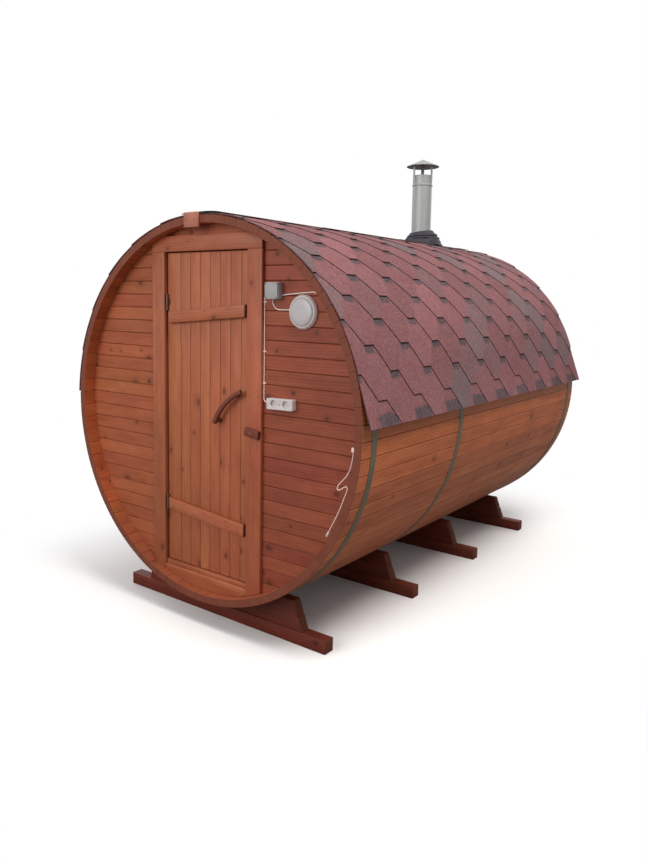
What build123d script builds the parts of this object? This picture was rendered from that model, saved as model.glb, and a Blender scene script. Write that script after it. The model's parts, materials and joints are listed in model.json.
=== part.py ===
from build123d import *
import math
import os

# Barrel sauna: a barrel of staves lying on four cradles, with a recessed wall at each end, a ledged door,
# a shingled roof skin, a flue and a few electrical fittings on the front wall.
# Millimetres. +Z is up, the door faces -Y, and the origin is on the ground under the middle of the barrel.
# Heights are measured from the barrel's axis, unless said otherwise.

# Barrel of staves
barrel_radius = 1050.0
barrel_length = 2980.0
stave_thickness = 42.0
stave_count = 80
segment_count = 10
ring_phase = -1.5
joint_depth = 5.0
joint_half_width = 4.0

# Clearance between seated pieces
fit = 0.2

# Plates nailed over the top of each rim
ridge_plate_width = 100.0
ridge_plate_rise = 13.0
ridge_plate_height = 79.0
ridge_plate_thickness = 18.0
ridge_plate_offset = -44.0

# Hoops
hoop_width = 44.0
hoop_thickness = 1.5
hoop_shares = (0.0356, 0.342, 0.9664)

# Cradles: base beams with shaped saddles
beam_length = 1508.0
beam_height = 72.0
beam_depth = 72.0
saddle_web = 64.0
saddle_depth = 60.0
saddle_bottom_width = 1196.0
saddle_top_width = 1076.0
saddle_rise = 157.0
saddle_nick = 6.0
cradle_shares = (0.064, 0.3675, 0.657, 0.940)

# End walls
wall_recess = 75.0
wall_thickness = 42.0

# Doorway and its trim. The crown and the sill are the wall left over and under the doorway.
doorway_width = 625.0
doorway_offset = -16.5
doorway_crown = 139.0
doorway_sill = 82.0
casing_width = 100.0
trim_thickness = 22.0
header_height = 85.0
threshold_height = 25.0
threshold_proud = 11.0

# Door leaf and ledgers. A ledger's drop or rise is from the doorway's nearer end to its middle.
leaf_thickness = 40.0
leaf_gap = 5.0
first_plank = 106.0
plank_pitch = 76.0
plank_groove = 5.0
ledger_length = 576.0
ledger_height = 66.0
ledger_slope = 4.8
ledger_inset = 31.0
upper_ledger_drop = 339.0
lower_ledger_rise = 341.0

# Hinges, measured from the doorway's nearer end and from its left jamb
hinge_knuckle_radius = 7.5
hinge_pin_radius = 3.0
hinge_running_gap = 0.4
hinge_height = 90.0
hinge_middle_height = 29.0
hinge_leaf_thickness = 2.0
hinge_strap_reach = 20.0
hinge_axis_inset = 9.0
hinge_axis_stand = 9.0
upper_hinge_drop = 278.0
lower_hinge_rise = 365.0

# Bowed wooden handle
handle_chord = 268.0
handle_rise = 27.0
handle_width = 25.0
handle_depth = 22.0
handle_stand = 28.0
handle_foot_radius = 12.0
handle_foot_shares = (0.06, 0.80)
handle_slope = 43.8
handle_place = 178.0
handle_height = 43.0

# Turn button on the right casing: its long arm points away from the door, and tilts down
button_length = 96.0
button_width = 44.0
button_depth = 22.0
button_short_arm = 39.0
button_tilt = 8.0
button_inset = 44.0
button_drop = 72.0
button_corner = 5.0

# Roof skin and eaves
roof_thickness = 6.0
roof_spring_angle = 17.2
eave_length = 288.0

# Flue
flue_radius = 75.0
flue_wall = 3.0
flue_share = 0.802
flue_rise = 532.0
flue_inner_drop = 120.0
flue_clearance = 4.0
flashing_base_radius = 160.0
flashing_neck_radius = 86.0
flashing_height = 100.0
flashing_skirt = 14.0
cap_radius = 125.0
cap_rise = 55.0
cap_thickness = 2.0
cap_gap = 70.0
cap_leg_width = 24.0
cap_leg_thickness = 3.0
cap_leg_lap = 50.0
cap_leg_count = 3

# Electrical fittings on the front wall: placed from the right casing's edge, and up or down from the light
light_radius = 85.0
light_depth = 30.0
light_rim = 8.0
light_skirt = 8.0
light_shoulder_radius = 77.0
light_dome_radius = 70.0
light_reach = 254.0
light_edge_gap = 67.0
box_size = 84.0
box_depth = 45.0
box_corner = 6.0
box_gap = 36.0
box_lift = 101.0
lid_thickness = 8.0
lid_step = 2.0
socket_width = 167.0
socket_height = 56.0
socket_depth = 33.0
socket_corner = 6.0
socket_slope = 1.5
socket_gap = 46.0
socket_fall = 462.0
socket_recess_radius = 19.0
socket_recess_depth = 12.0
socket_pitch = 78.0

# Share of a cord's or cable's shorter run that its bend takes up
bend_share = 0.45

# Surface cables, held to the wall all the way
cable_radius = 3.0
cable_bend = 46.0
cable_riser_stand = 4.5
cable_end_gap = 0.6
cable_drop_share = 0.2
cable_feed_share = 0.26
cable_light_share = 0.25
cable_light_lift = 8.0
light_bend_share = 0.9
feed_middle_share = 0.45
feed_sag = 8.0
grommet_radius = 8.0
grommet_depth = 9.0
grommet_shift = 74.0
grommet_lift = 97.5

# Loose lead at the right rim: clip, cord and connector
clip_length = 20.0
clip_width = 14.0
clip_depth = 14.0
lead_radius = 2.5
lead_depth = 9.0
lead_first_run = 24.0
connector_radius = 5.5
connector_length = 32.0
# Places across and heights of the lead's points after its first run
lead_points = [
    (989, -132), (980, -164), (964, -193), (945, -213), (925, -234), (910, -254), (915, -268),
    (935, -260), (952, -245), (965, -242), (970, -255), (961, -277), (949, -305), (936, -341),
    (917, -382), (897, -421), (880, -452), (869, -474),
]

# Floor of boards on cross bearers, above the bottom of the room
floor_rise = 77.0
floor_board_count = 6
floor_board_thickness = 27.0
floor_board_gap = 8.0
floor_end_gap = 10.0
bearer_thickness = 45.0
bearer_count = 5

# Values that follow from those above
front = -barrel_length / 2
axis_height = beam_height + saddle_web + barrel_radius
stave_pitch = 360 / stave_count
staves_in_segment = stave_count // segment_count
inner_radius = barrel_radius - stave_thickness
flat_radius = inner_radius * math.cos(math.radians(stave_pitch / 2))
room_radius = flat_radius - fit
wall_face = front + wall_recess
back_wall_face = -front - wall_recess - wall_thickness
trim_face = wall_face - trim_thickness
jamb_left = doorway_offset - doorway_width / 2
jamb_right = doorway_offset + doorway_width / 2
doorway_top = room_radius - doorway_crown
doorway_bottom = doorway_sill - room_radius
casing_edge = jamb_right + casing_width
floor_top = floor_rise - room_radius
roof_inner_radius = barrel_radius + hoop_thickness + fit
roof_outer_radius = roof_inner_radius + roof_thickness
flue_depth = front + flue_share * barrel_length
flue_top = roof_outer_radius + flue_rise
light_place = casing_edge + light_reach
light_height = math.sqrt((room_radius - light_edge_gap - light_radius) ** 2 - light_place**2)
box_place = casing_edge + box_gap + box_size / 2
box_height = light_height + box_lift
socket_place = casing_edge + socket_gap + socket_width / 2
socket_mid_height = light_height - socket_fall


def polar(radius, angle):
    """Point at a radius and an angle in degrees from the level line to the right."""
    turn = math.radians(angle)
    return (radius * math.cos(turn), radius * math.sin(turn))


def facing(depth):
    """Upright plane across the barrel, with its middle on the barrel's axis."""
    return Plane(origin=(0, depth, axis_height), x_dir=(1, 0, 0), z_dir=(0, -1, 0))


def board(outline, depth, thickness):
    """Solid of an outline drawn across the barrel, from a depth backwards."""
    return extrude(facing(depth) * outline, amount=thickness, dir=(0, 1, 0))


def panel(left, right, bottom, top):
    """Rectangle between four limits."""
    return Pos((left + right) / 2, (bottom + top) / 2) * Rectangle(right - left, top - bottom)


def upright_tube(outer, inner, bottom, top):
    """Upright tube on the flue's line, between two heights above the axis."""
    ring = Circle(outer) - Circle(inner)
    return extrude(Pos(0, flue_depth, axis_height + bottom) * ring, amount=top - bottom)


def flue_drill(radius):
    """Upright cutter on the flue's line, from the axis up."""
    return extrude(Pos(0, flue_depth, axis_height) * Circle(radius), amount=flue_top)


def save(name, shape):
    """Writes one piece under its name."""
    export_step(shape, f"parts/{name}.step")


def stave_outline(first):
    """Outline of one segment: flat staves with a V joint between them."""
    outside = []
    for stave in range(first, first + staves_in_segment):
        angle = ring_phase + stave * stave_pitch
        near = Vector(*polar(barrel_radius, angle))
        far = Vector(*polar(barrel_radius, angle + stave_pitch))
        lip = (far - near).normalized() * joint_half_width
        outside += [polar(barrel_radius - joint_depth, angle), near + lip, far - lip]
    last = ring_phase + (first + staves_in_segment) * stave_pitch
    outside.append(polar(barrel_radius - joint_depth, last))
    inside = [polar(inner_radius, last - step * stave_pitch) for step in range(staves_in_segment + 1)]
    return Polygon(*outside, *inside, align=None)


def make_barrel():
    """Ring of staves in segments, with the flue's hole, and the plates at the top of the rims."""
    hole = flue_drill(flue_radius + flue_clearance)
    for segment in range(segment_count):
        outline = stave_outline(segment * staves_in_segment)
        save(f"staves_{segment + 1:02d}", board(outline, front, barrel_length) - hole)
    top = barrel_radius + ridge_plate_rise
    half = ridge_plate_width / 2
    plate = panel(ridge_plate_offset - half, ridge_plate_offset + half, top - ridge_plate_height, top)
    save("ridge_plate_front", board(plate, front - ridge_plate_thickness, ridge_plate_thickness))
    save("ridge_plate_back", board(plate, -front, ridge_plate_thickness))


def make_hoops():
    """Steel bands round the barrel, under the roof skin."""
    band = Circle(barrel_radius + hoop_thickness) - Circle(barrel_radius)
    hoops = [board(band, front + share * barrel_length - hoop_width / 2, hoop_width) for share in hoop_shares]
    save("hoops", Compound(children=hoops))


def make_cradles():
    """Base beams on the ground, and saddles cut to the barrel's round."""
    beam_top = -barrel_radius - saddle_web
    beam = panel(-beam_length / 2, beam_length / 2, beam_top - beam_height, beam_top)
    half_top = saddle_top_width / 2
    half_bottom = saddle_bottom_width / 2
    shoulder = beam_top + saddle_rise
    middle = (shoulder + beam_top) / 2
    half_middle = (half_top + half_bottom) / 2
    right = [
        (half_bottom, beam_top),
        (half_middle + saddle_nick / 2, middle - saddle_nick),
        (half_middle - saddle_nick, middle),
        (half_middle - saddle_nick / 2, middle + saddle_nick),
        (half_top, shoulder),
    ]
    left = [(-across, height) for across, height in reversed(right)]
    saddle = Polygon(*right, *left, align=None) - Circle(barrel_radius)
    beams = []
    saddles = []
    for share in cradle_shares:
        middle_depth = front + share * barrel_length
        beams.append(board(beam, middle_depth - beam_depth / 2, beam_depth))
        saddles.append(board(saddle, middle_depth - saddle_depth / 2, saddle_depth))
    save("cradle_beams", Compound(children=beams))
    save("cradle_saddles", Compound(children=saddles))


def make_walls():
    """Front wall in four pieces round the doorway, and the plain back wall."""
    disc = Circle(room_radius)
    reach = barrel_radius
    pieces = {
        "front_wall_left": panel(-reach, jamb_left, -reach, reach),
        "front_wall_right": panel(jamb_right, reach, -reach, reach),
        "front_wall_top": panel(jamb_left, jamb_right, doorway_top, reach),
        "front_wall_sill": panel(jamb_left, jamb_right, -reach, doorway_bottom),
    }
    for name, area in pieces.items():
        save(name, board(disc & area, wall_face, wall_thickness))
    save("back_wall", board(disc, back_wall_face, wall_thickness))


def make_trim():
    """Casings beside the doorway, the header over them, and the sill board and threshold under the door."""
    disc = Circle(room_radius)
    low = -barrel_radius
    left_edge = jamb_left - casing_width
    header_top = doorway_top + header_height
    pieces = {
        "casing_left": panel(left_edge, jamb_left, low, doorway_top),
        "casing_right": panel(jamb_right, casing_edge, low, doorway_top),
        "door_header": panel(left_edge, casing_edge, doorway_top, header_top),
        "sill_board": panel(jamb_left, jamb_right, low, doorway_bottom),
    }
    for name, area in pieces.items():
        save(name, board(disc & area, trim_face, trim_thickness))
    strip = panel(jamb_left, jamb_right, doorway_bottom, doorway_bottom + threshold_height)
    save("threshold_strip", board(strip, wall_face - threshold_proud, threshold_proud + wall_thickness))


def make_door():
    """Leaf of vertical planks with splayed ledgers on its face."""
    left = jamb_left + leaf_gap
    right = jamb_right - leaf_gap
    top = doorway_top - leaf_gap
    bottom = doorway_bottom + threshold_height + leaf_gap
    leaf = board(panel(left, right, bottom, top), wall_face, leaf_thickness)
    joints = math.ceil((right - left - first_plank) / plank_pitch)
    half = plank_groove / 2
    groove = [(-half, wall_face), (half, wall_face), (0, wall_face + half)]
    for joint in range(joints):
        across = left + first_plank + joint * plank_pitch
        wedge = Pos(across, 0, axis_height + bottom) * Polygon(*groove, align=None)
        leaf -= extrude(wedge, amount=top - bottom)
    save("door_leaf", leaf)
    near = jamb_left + ledger_inset
    far = near + ledger_length
    rise = ledger_length * math.tan(math.radians(ledger_slope)) / 2
    ledgers = {
        "door_ledger_upper": (doorway_top - upper_ledger_drop, rise),
        "door_ledger_lower": (doorway_bottom + lower_ledger_rise, -rise),
    }
    for name, (height, lift) in ledgers.items():
        low = height - ledger_height / 2
        high = height + ledger_height / 2
        corners = [(near, low - lift), (far, low + lift), (far, high + lift), (near, high - lift)]
        save(name, board(Polygon(*corners, align=None), trim_face, trim_thickness))


def make_handle():
    """Bowed bar on two round feet."""
    spot = Pos(handle_place, handle_height) * Rot(0, 0, handle_slope)
    bow = SagittaArc((-handle_chord / 2, 0), (handle_chord / 2, 0), handle_rise)
    foot_face = wall_face - handle_stand
    save("handle_bar", board(spot * trace(bow, handle_width), foot_face - handle_depth, handle_depth))
    feet = []
    for share in handle_foot_shares:
        foot = spot * (Pos(bow @ share) * Circle(handle_foot_radius))
        feet.append(board(foot, foot_face, handle_stand))
    save("handle_feet", Compound(children=feet))


def make_button():
    """Turn button on its screw, with its short arm towards the door."""
    half = button_width / 2
    outline = panel(-button_short_arm, button_length - button_short_arm, -half, half)
    outline = fillet(outline.vertices(), button_corner)
    spot = Pos(jamb_right + button_inset, -button_drop) * Rot(0, 0, -button_tilt)
    save("turn_button", board(spot * outline, trim_face - fit - button_depth, button_depth))


def make_hinges():
    """Two hinges: the jamb's half with its pin, and the door's half that turns on it."""
    axis_place = jamb_left + hinge_axis_inset
    axis_depth = wall_face - hinge_axis_stand
    bore_radius = hinge_pin_radius + hinge_running_gap
    slot_height = hinge_middle_height + hinge_running_gap
    jamb_halves = []
    door_halves = []
    for height in (doorway_top - upper_hinge_drop, doorway_bottom + lower_hinge_rise):
        spot = Pos(axis_place, axis_depth, axis_height + height)
        barrel = Cylinder(hinge_knuckle_radius, hinge_height)
        gap = Cylinder(hinge_knuckle_radius + hinge_running_gap, slot_height)
        pin = Cylinder(hinge_pin_radius, hinge_height)
        plate_middle = (trim_face + wall_face) / 2 - axis_depth
        plate_across = hinge_leaf_thickness / 2 - hinge_axis_inset
        plate = Pos(plate_across, plate_middle) * Box(hinge_leaf_thickness, trim_thickness, hinge_height)
        jamb_halves.append(spot * ((barrel + plate) - gap + pin))
        knuckle = Cylinder(hinge_knuckle_radius, hinge_middle_height)
        strap_depth = hinge_axis_stand - hinge_leaf_thickness / 2
        strap = Pos(hinge_strap_reach / 2, strap_depth) * Box(
            hinge_strap_reach, hinge_leaf_thickness, hinge_middle_height)
        bore = Cylinder(bore_radius, hinge_height)
        door_halves.append(spot * (knuckle + strap - bore))
    save("hinge_jamb_halves", Compound(children=jamb_halves))
    save("hinge_door_halves", Compound(children=door_halves))


def roof_arc(start, sweep):
    """Bent sheet of the roof, from one angle on through a sweep."""
    outer = CenterArc((0, 0), roof_outer_radius, start, sweep)
    inner = CenterArc((0, 0), roof_inner_radius, start, sweep)
    return make_face([outer, Line(outer @ 1, inner @ 1), inner, Line(inner @ 0, outer @ 0)])


def make_roof():
    """Roof skin round the upper half, the right eave that runs straight on, the left one that hugs the staves."""
    skin = roof_arc(roof_spring_angle, 180 - 2 * roof_spring_angle)
    hole = flue_drill(flue_radius + flue_clearance)
    save("roof_skin", board(skin, front, barrel_length) - hole)
    along = polar(eave_length, roof_spring_angle - 90)
    root_in = polar(roof_inner_radius, roof_spring_angle)
    root_out = polar(roof_outer_radius, roof_spring_angle)
    corners = [
        root_in,
        (root_in[0] + along[0], root_in[1] + along[1]),
        (root_out[0] + along[0], root_out[1] + along[1]),
        root_out,
    ]
    save("eave_right", board(Polygon(*corners, align=None), front, barrel_length))
    eave_sweep = math.degrees(eave_length / roof_outer_radius)
    save("eave_left", board(roof_arc(180 - roof_spring_angle, eave_sweep), front, barrel_length))


def make_flue():
    """Flue pipe through the roof, its flashing and its rain cap."""
    bottom = inner_radius - flue_inner_drop
    bore = flue_radius - flue_wall
    save("flue_pipe", upright_tube(flue_radius, bore, bottom, flue_top))
    base = math.sqrt(roof_outer_radius**2 - flashing_base_radius**2)
    neck = roof_outer_radius + flashing_height
    outline = [
        (0, base),
        (flashing_base_radius, base),
        (flashing_base_radius, base + flashing_skirt),
        (flashing_neck_radius, neck - flashing_skirt),
        (flashing_neck_radius, neck),
        (0, neck),
    ]
    spot = facing(flue_depth)
    turn_axis = Axis((0, flue_depth, axis_height), (0, 0, 1))
    cone = revolve(spot * Polygon(*outline, align=None), turn_axis)
    roof = board(Circle(roof_outer_radius + fit), front, barrel_length)
    save("flue_flashing", cone - roof - flue_drill(flue_radius + fit))
    rim = flue_top + cap_gap
    lid = [
        (0, rim + cap_rise),
        (0, rim + cap_rise - cap_thickness),
        (cap_radius, rim - cap_thickness),
        (cap_radius, rim),
    ]
    cap = revolve(spot * Polygon(*lid, align=None), turn_axis)
    leg_middle = flue_radius + fit + cap_leg_thickness / 2
    slope = cap_rise / cap_radius
    leg_top = rim + cap_rise - cap_thickness - slope * (flue_radius + fit)
    leg_bottom = flue_top - cap_leg_lap
    leg = Box(cap_leg_thickness, cap_leg_width, leg_top - leg_bottom)
    leg = Pos(leg_middle, 0, (leg_top + leg_bottom) / 2) * leg
    for step in range(cap_leg_count):
        cap += Pos(0, flue_depth, axis_height) * (Rot(0, 0, 360 * step / cap_leg_count) * leg)
    save("flue_cap", cap)


def make_fittings():
    """Junction box, round wall light and double socket box on the front wall."""
    body = RectangleRounded(box_size, box_size, box_corner)
    lid = RectangleRounded(box_size - 2 * lid_step, box_size - 2 * lid_step, box_corner)
    spot = Pos(box_place, box_height)
    body_depth = box_depth - lid_thickness
    box = board(spot * body, wall_face - body_depth, body_depth)
    box += board(spot * lid, wall_face - box_depth, lid_thickness)
    save("junction_box", box)
    spot = Pos(light_place, light_height)
    base = board(spot * Circle(light_radius), wall_face - light_skirt, light_skirt)
    bevel = Cone(light_radius, light_shoulder_radius, light_depth - light_rim - light_skirt,
                 align=(Align.CENTER, Align.CENTER, Align.MIN))
    base += facing(wall_face - light_skirt) * spot * bevel
    base += board(spot * Circle(light_dome_radius), wall_face - light_depth, light_rim)
    save("wall_light", base)
    spot = Pos(socket_place, socket_mid_height) * Rot(0, 0, socket_slope)
    face = wall_face - socket_depth
    case = board(spot * RectangleRounded(socket_width, socket_height, socket_corner), face, socket_depth)
    for side in (-1, 1):
        recess = spot * (Pos(side * socket_pitch / 2, 0) * Circle(socket_recess_radius))
        case -= board(recess, face, socket_recess_depth)
    save("socket_box", case)


def bend_radii(route, share=bend_share):
    """Largest arc that each corner of a route leaves room for."""
    radii = []
    for before, point, after in zip(route, route[1:], route[2:]):
        turn = (point - before).get_angle(after - point)
        run = min((point - before).length, (after - point).length)
        radii.append(share * run / math.tan(math.radians(turn / 2)))
    return radii


def cable_run(points, share=bend_share):
    """Round cable along points on the wall, with its bends as arcs."""
    depth = wall_face - cable_radius - fit
    places = [Vector(across, depth, axis_height + height) for across, height in points]
    path = FilletPolyline(*places, radius=[min(cable_bend, radius) for radius in bend_radii(places, share)])
    start = Plane(origin=path @ 0, z_dir=path % 0)
    return sweep(start * Circle(cable_radius), path=path)


def make_cables():
    """Cables from the junction box to the socket box, to the light and to a grommet."""
    box_left = box_place - box_size / 2 - cable_end_gap
    box_right = box_place + box_size / 2 + cable_end_gap
    box_low = box_height - box_size / 2 - cable_end_gap
    riser = casing_edge + cable_riser_stand
    drop_height = box_height - box_size / 2 + cable_drop_share * box_size
    feed_height = box_height - box_size / 2 + cable_feed_share * box_size
    socket_left = socket_place - socket_width / 2 - cable_end_gap
    socket_drop = cable_run([
        (box_left, drop_height),
        (riser, drop_height),
        (riser, socket_mid_height),
        (socket_left, socket_mid_height),
    ])
    light_left = light_place - light_radius - cable_end_gap
    light_drop = box_place - cable_light_share * box_size
    feed_end = light_height + cable_light_lift
    light_feed = cable_run([(light_drop, box_low), (light_drop, feed_end), (light_left, feed_end)], light_bend_share)
    grommet_place = light_place + grommet_shift
    grommet_height = light_height + grommet_lift
    feed_middle = box_right + feed_middle_share * (grommet_place - box_right)
    wall_feed = cable_run([
        (box_right, feed_height),
        (feed_middle, grommet_height - feed_sag),
        (grommet_place, grommet_height),
    ])
    grommet = Pos(grommet_place, grommet_height) * Circle(grommet_radius)
    wall_feed += board(grommet, wall_face - grommet_depth, grommet_depth)
    save("surface_cables", Compound(children=[socket_drop, light_feed, wall_feed]))


def make_lead():
    """Loose lead: the clip on the rim's inside, the cord that hangs from it and the connector on its end."""
    angle = ring_phase - stave_pitch / 2
    clip_middle = room_radius - clip_depth / 2
    depth = front + lead_depth
    clip = Pos(*polar(clip_middle, angle)) * Rot(0, 0, angle) * Rectangle(clip_depth, clip_length)
    save("lead_clip", board(clip, depth - clip_width / 2, clip_width))
    down = Vector(*polar(1, angle - 90))
    start = Vector(*polar(clip_middle, angle)) + down * (clip_length / 2)
    flat = [start, start + down * lead_first_run] + [Vector(*point) for point in lead_points]
    route = [Vector(point.X, depth, axis_height + point.Y) for point in flat]
    radii = bend_radii(route)
    print("lead radii", [round(radius, 1) for radius in radii])
    path = FilletPolyline(*route, radius=radii)
    section = Plane(origin=path @ 0, z_dir=path % 0) * Circle(lead_radius)
    cord = sweep(section, path=path)
    print("lead length", round(path.length), "volume share", cord.volume / (section.area * path.length))
    save("lead_cord", cord)
    end = Plane(origin=path @ 1, z_dir=path % 1)
    save("lead_connector", extrude(end * Circle(connector_radius), amount=connector_length))


def make_floor():
    """Floor boards along the barrel, on bearers that fill its bottom."""
    under = floor_top - floor_board_thickness
    half = math.sqrt(room_radius**2 - under**2) - fit
    width = (2 * half - (floor_board_count - 1) * floor_board_gap) / floor_board_count
    start = wall_face + wall_thickness + floor_end_gap
    length = back_wall_face - floor_end_gap - start
    boards = []
    for place in range(floor_board_count):
        left = -half + place * (width + floor_board_gap)
        boards.append(board(panel(left, left + width, under, floor_top), start, length))
    save("floor_boards", Compound(children=boards))
    segment = Circle(room_radius) & panel(-barrel_radius, barrel_radius, -barrel_radius, under)
    pitch = (length - bearer_thickness) / (bearer_count - 1)
    bearers = [board(segment, start + place * pitch, bearer_thickness) for place in range(bearer_count)]
    save("floor_bearers", Compound(children=bearers))


os.makedirs("parts", exist_ok=True)
make_barrel()
make_hoops()
make_cradles()
make_walls()
make_trim()
make_door()
make_handle()
make_button()
make_hinges()
make_roof()
make_flue()
make_fittings()
make_cables()
make_lead()
make_floor()
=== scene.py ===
import enum
import json
import logging
import math
import random
from dataclasses import dataclass, field
from typing import Callable, Iterable, Sequence

import bmesh
import bpy
from mathutils import Matrix, Vector


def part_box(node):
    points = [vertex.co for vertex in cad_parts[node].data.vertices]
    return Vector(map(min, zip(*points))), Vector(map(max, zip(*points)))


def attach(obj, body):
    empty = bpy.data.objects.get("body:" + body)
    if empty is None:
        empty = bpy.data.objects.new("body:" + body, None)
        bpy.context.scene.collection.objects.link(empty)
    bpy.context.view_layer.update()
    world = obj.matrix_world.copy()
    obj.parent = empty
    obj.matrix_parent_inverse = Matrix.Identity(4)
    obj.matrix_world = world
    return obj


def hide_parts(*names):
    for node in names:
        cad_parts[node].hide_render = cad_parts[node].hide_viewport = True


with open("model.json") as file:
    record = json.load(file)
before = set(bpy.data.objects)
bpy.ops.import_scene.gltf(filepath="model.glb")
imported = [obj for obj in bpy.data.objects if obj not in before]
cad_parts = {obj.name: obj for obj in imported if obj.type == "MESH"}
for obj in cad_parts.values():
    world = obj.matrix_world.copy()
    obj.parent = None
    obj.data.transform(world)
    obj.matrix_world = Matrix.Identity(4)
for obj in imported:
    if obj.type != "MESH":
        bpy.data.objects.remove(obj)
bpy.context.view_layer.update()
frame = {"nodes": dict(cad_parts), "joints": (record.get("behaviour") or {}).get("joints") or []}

LOG = logging.getLogger("barrel_sauna")
Colour = tuple[float, float, float]
Pair = tuple[float, float]
TAB_PITCH = 0.330
TAB_COURSE = 0.133
TAB_FLAT = 0.077
TAB_DROP = 0.009
LEDGER_SLOPE = math.tan(math.radians(4.8))


def srgb(red: float, green: float, blue: float) -> Colour:
    """Linear colour of a colour written as a screen shows it.

    Args:
        red: Red from 0 to 255.
        green: Green from 0 to 255.
        blue: Blue from 0 to 255.

    Returns:
        The three linear values from 0 to 1.
    """
    shares = [value / 255 for value in (red, green, blue)]
    return tuple(s / 12.92 if s <= 0.04045 else ((s + 0.055) / 1.055) ** 2.4 for s in shares)


def scaled(colour: Colour, factor: float) -> Colour:
    """A colour made darker or lighter by a factor."""
    return tuple(min(1.0, part * factor) for part in colour)


class Body(enum.Enum):
    """Bodies that pieces ride on."""

    SAUNA = "sauna"
    DOOR = "door"
    BUTTON = "turn_button"


class Slot(enum.Enum):
    """Material slots of the record."""

    STAINED = "stained_wood"
    STAVE = "stave_wood"
    DOOR = "door_wood"
    CRADLE = "cradle_wood"
    BARE = "bare_wood"
    STEEL = "galvanised_steel"
    RUBBER = "flashing_rubber"
    SHINGLE = "roof_shingle"
    GREY = "grey_plastic"
    WHITE = "white_plastic"
    SHEATH = "cable_sheath"
    HINGE = "hinge_steel"


class Field:
    """One output of a node, which takes part in sums as a number does."""

    def __init__(self, graph: "Graph", socket: bpy.types.NodeSocket) -> None:
        """Keeps the graph and the socket."""
        self.graph = graph
        self.socket = socket

    def __add__(self, other: "Field | float") -> "Field":
        """Sum of two values."""
        return self.graph.math("ADD", self, other)

    def __radd__(self, other: float) -> "Field":
        """Sum with a number on the left."""
        return self.graph.math("ADD", other, self)

    def __sub__(self, other: "Field | float") -> "Field":
        """Difference of two values."""
        return self.graph.math("SUBTRACT", self, other)

    def __rsub__(self, other: float) -> "Field":
        """Difference from a number on the left."""
        return self.graph.math("SUBTRACT", other, self)

    def __mul__(self, other: "Field | float") -> "Field":
        """Product of two values."""
        return self.graph.math("MULTIPLY", self, other)

    def __rmul__(self, other: float) -> "Field":
        """Product with a number on the left."""
        return self.graph.math("MULTIPLY", other, self)

    def __truediv__(self, other: "Field | float") -> "Field":
        """Quotient of two values."""
        return self.graph.math("DIVIDE", self, other)

    def above(self, limit: "Field | float") -> "Field":
        """One where the value is over the limit, and else nought."""
        return self.graph.math("GREATER_THAN", self, limit)

    def below(self, limit: "Field | float") -> "Field":
        """One where the value is under the limit, and else nought."""
        return self.graph.math("LESS_THAN", self, limit)

    def size(self) -> "Field":
        """The value without its sign."""
        return self.graph.math("ABSOLUTE", self)


Value = Field | float


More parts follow.
